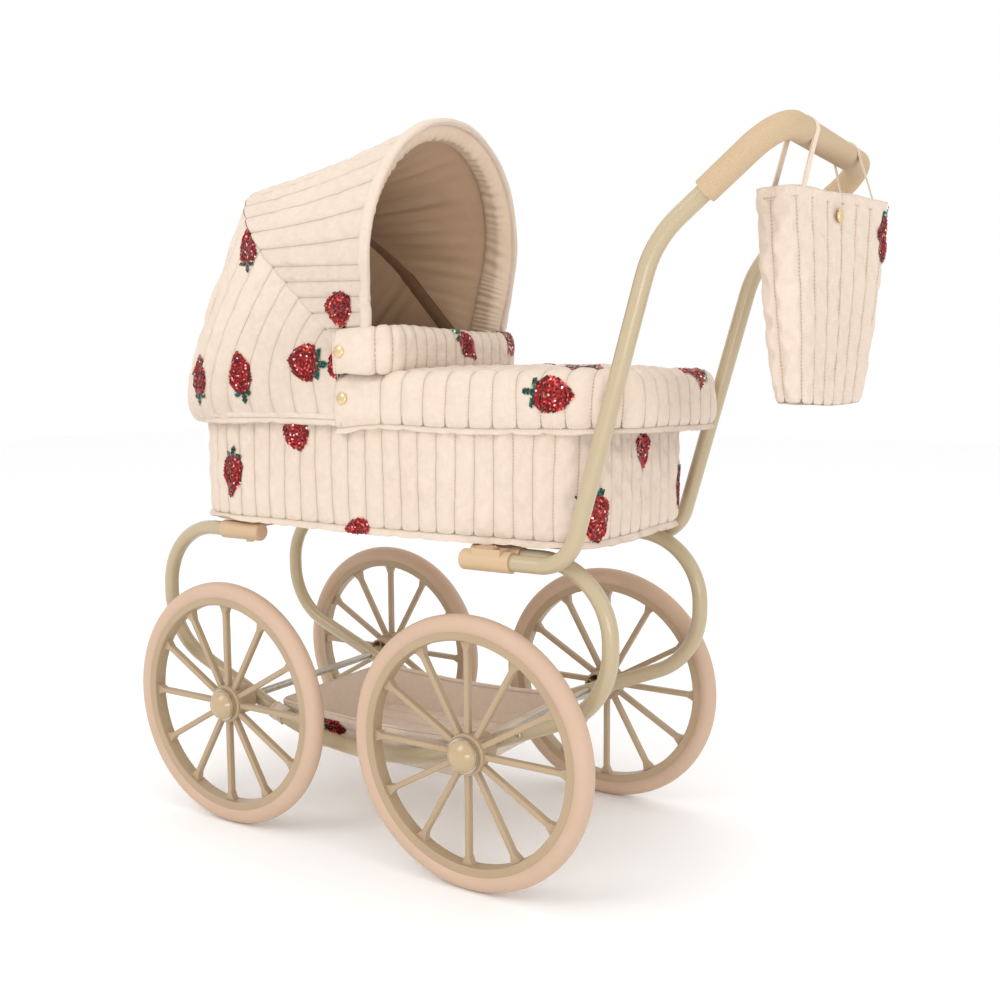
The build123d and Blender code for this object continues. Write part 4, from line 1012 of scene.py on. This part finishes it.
def strawberries(name, carriers, places):
    """Sequins laid on the carriers' own surface. Each place is (centre, outward, tip way, length,
    width, leaves), the tip way being the direction the point of the berry turns."""
    corners, faces, bodies = [], [], []
    for carrier in carriers:
        start = len(corners)
        corners += [v.co.copy() for v in carrier.data.vertices]
        faces += [[start + k for k in face.vertices] for face in carrier.data.polygons]
    skin = BVHTree.FromPolygons(corners, faces)
    points, polygons, kinds, tones_and_glints = [], [], [], []
    for centre, outward, tip, length, width, leafy in places:
        normal = Vector(outward).normalized()
        down = (Vector(tip) - normal * Vector(tip).dot(normal)).normalized()
        side = normal.cross(down)
        middle = Vector(centre)
        spots = []
        rows = int(length / SEQUIN_PITCH * 1.155) + 1
        for row in range(-rows - 8, rows + 9):
            for column in range(-26, 27):
                x = (column + 0.5 * (row % 2)) * SEQUIN_PITCH
                y = row * SEQUIN_PITCH * 0.866
                share = y / length + 0.5
                if 0.0 < share < 1.0 and abs(x) < width / 2 * math.sin(math.pi * share ** 0.64) ** 0.7:
                    spots.append((x, y, 0))
                elif leafy:
                    top_y = y + length * 0.44
                    turn, far = math.atan2(x, -top_y), math.hypot(x, top_y)
                    spike = abs(math.cos(turn * 2.5)) ** 2.0
                    if abs(turn) < 2.0 and far < width * 0.42 * (0.34 + 0.66 * spike):
                        spots.append((x, y, 1))
        for x, y, kind in spots:
            far_out = middle + side * x + down * y + normal * 0.030
            hit, face_normal, _, reach = skin.ray_cast(far_out, -normal, 0.055)
            if hit is None:
                continue
            face_normal = face_normal if face_normal.dot(normal) > 0 else -face_normal
            wobble = Vector(chance.normal(0.0, 0.15, 3))
            flat = (face_normal + wobble).normalized()
            flat = flat if flat.dot(face_normal) > 0.8 else face_normal
            first = flat.cross(down).normalized()
            second = flat.cross(first)
            base = hit + face_normal * (0.0009 + 0.0003 * kind)
            start = len(points)
            spin = chance.uniform(0, 1)
            for k in range(6):
                angle = (k + spin) * math.pi / 3
                points.append(base + (first * math.cos(angle) + second * math.sin(angle)) * SEQUIN)
            order = list(range(start, start + 6))
            if (points[start + 1] - points[start]).cross(points[start + 2] - points[start]).dot(face_normal) < 0:
                order.reverse()
            polygons.append(order)
            kinds.append(kind)
            # The tone is a random shade, raised along rings into a paler red, and for a few sequins raised into the
            # painted glints.
            ring = math.hypot(x * 1.15, y) / 0.0045
            pale = 0.34 if abs(ring - round(ring)) < 0.16 else 0.0
            tones_and_glints.append(min(1.0, 0.62 * chance.uniform() ** 1.3 + pale + 0.4 * (chance.uniform() > 0.93)))
    mesh = bpy.data.meshes.new(name)
    mesh.from_pydata(points, [], polygons)
    obj = bpy.data.objects.new(name, mesh)
    bpy.context.scene.collection.objects.link(obj)
    mesh.materials.append(red.material)
    mesh.materials.append(green.material)
    mesh.polygons.foreach_set("material_index", kinds)
    mesh.attributes.new("tone_and_glint", "FLOAT", "FACE").data.foreach_set("value", tones_and_glints)
    return obj


LEFT, REAR, UP = (0.0, 1.0, 0.0), (-1.0, 0.0, 0.0), (0.0, 0.0, 1.0)
RIGHT, FORE, DOWN = (0.0, -1.0, 0.0), (1.0, 0.0, 0.0), (0.0, 0.0, -1.0)
cot_berries = strawberries("cot_berries", [cot_wall], [
    ((0.1433, 0.107, 0.4009), LEFT, (-0.35, 0, -1), 0.036, 0.034, True),
    ((0.2334, 0.1063, 0.3555), LEFT, (0.15, 0, -1), 0.044, 0.030, True),
    ((0.0697, 0.107, 0.3117), LEFT, FORE, 0.030, 0.022, False),
    ((-0.1785, 0.0024, 0.3872), REAR, DOWN, 0.036, 0.026, True),
    ((-0.1758, 0.0877, 0.3341), (-0.82, 0.57, 0), (-0.3, 0, -1), 0.042, 0.036, True),
    ((-0.1720, -0.0900, 0.3450), (-0.88, -0.47, 0), (0, 0.2, -1), 0.040, 0.032, True),
    ((0.3270, 0.0100, 0.3580), FORE, (0, 0.3, -1), 0.042, 0.032, True),
    ((0.1900, -0.1070, 0.3600), RIGHT, (-0.3, 0, -1), 0.042, 0.032, True),
    ((0.0500, -0.1070, 0.3700), RIGHT, (0.5, 0, -1), 0.040, 0.032, True),
    ((-0.1000, -0.1070, 0.3400), RIGHT, (-0.1, 0, -1), 0.042, 0.032, True),
])
apron_berries = strawberries("apron_berries", [apron_band, apron_top], [
    ((-0.1493, 0.1102, 0.4400), (0, 0.9, 0.44), (-1, 0, -0.1), 0.040, 0.030, True),
    ((-0.1600, 0.0720, 0.4600), UP, (-1, 0.35, 0), 0.040, 0.032, False),
    ((-0.2068, -0.0416, 0.4594), (-0.5, 0, 0.87), (0.2, 1, 0), 0.038, 0.026, True),
    ((-0.0900, -0.0300, 0.4600), UP, (-0.6, -0.5, 0), 0.040, 0.032, True),
    ((-0.0600, -0.1102, 0.4350), RIGHT, (0.7, 0, -0.7), 0.036, 0.028, True),
])
cuff_berries = strawberries("cuff_berries", [cuff], [
    ((0.0215, -0.0127, 0.4858), (-0.94, 0.1, 0.34), (0, -0.75, -0.66), 0.036, 0.022, True),
    ((0.0300, -0.0900, 0.4880), (-0.6, -0.6, 0.5), (0, 0.3, -1), 0.030, 0.022, True),
])
hood_top_berries = strawberries("hood_top_berries", [hood_top], [
    ((0.0770, 0.1200, 0.5180), LEFT, (-0.25, 0, -1), 0.034, 0.034, False),
    ((0.1197, 0.0014, 0.6851), (0.2, 0, 1), (-1, 0.2, 0), 0.040, 0.032, True),
    ((0.0600, -0.1200, 0.5900), RIGHT, (0.2, 0, -1), 0.042, 0.032, True),
    ((0.0400, -0.0800, 0.6750), (0, -0.7, 0.7), (1, 0, 0), 0.036, 0.028, True),
])
hood_back_berries = strawberries("hood_back_berries", [hood_back], [
    ((0.2709, 0.1170, 0.4592), (0.25, 0.97, 0), (0.05, 0, 1), 0.042, 0.030, True),
    ((0.2045, 0.1205, 0.4618), LEFT, (0.1, 0, 1), 0.042, 0.030, True),
    ((0.1245, 0.1179, 0.4709), LEFT, (1, 0, 0.1), 0.038, 0.036, True),
    ((0.0790, 0.1160, 0.4720), LEFT, UP, 0.036, 0.030, False),
    ((0.1900, 0.1100, 0.5850), (0.45, 0.85, 0.25), (0.05, 0, 1), 0.038, 0.026, True),
    ((0.3450, -0.0150, 0.4950), (1, 0, 0.25), (0, 0.2, -1), 0.042, 0.032, True),
    ((0.2600, 0.0100, 0.6120), (0.7, 0, 0.7), (0.7, 0.2, -0.7), 0.040, 0.032, True),
    ((0.2200, -0.1180, 0.4900), RIGHT, (-0.3, 0, 1), 0.042, 0.032, True),
    ((0.1400, -0.1180, 0.5100), RIGHT, (0.4, 0, 1), 0.040, 0.030, True),
])
basket_berries = strawberries("basket_berries", [basket_wall], [
    ((0.1199, 0.0869, 0.1020), LEFT, (-1, 0, -0.1), 0.026, 0.022, True),
    ((0.0100, -0.0850, 0.1020), RIGHT, (1, 0, 0), 0.026, 0.022, True),
])
bag_berries = strawberries("bag_berries", [bag], [
    ((-0.3560, -0.0560, 0.5680), (-1, 0.1, 0), (0, 0.25, -1), 0.040, 0.030, True),
    ((-0.3250, 0.0150, 0.5000), (1, -0.15, 0), (0, 0.3, -1), 0.042, 0.032, True),
])
for piece in (cot_berries, apron_berries, cuff_berries, basket_berries):
    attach(piece, "chassis")
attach(bag_berries, "hanging_bag")
hinge_blend(hood_top_berries, False)
hinge_blend(hood_back_berries, True)
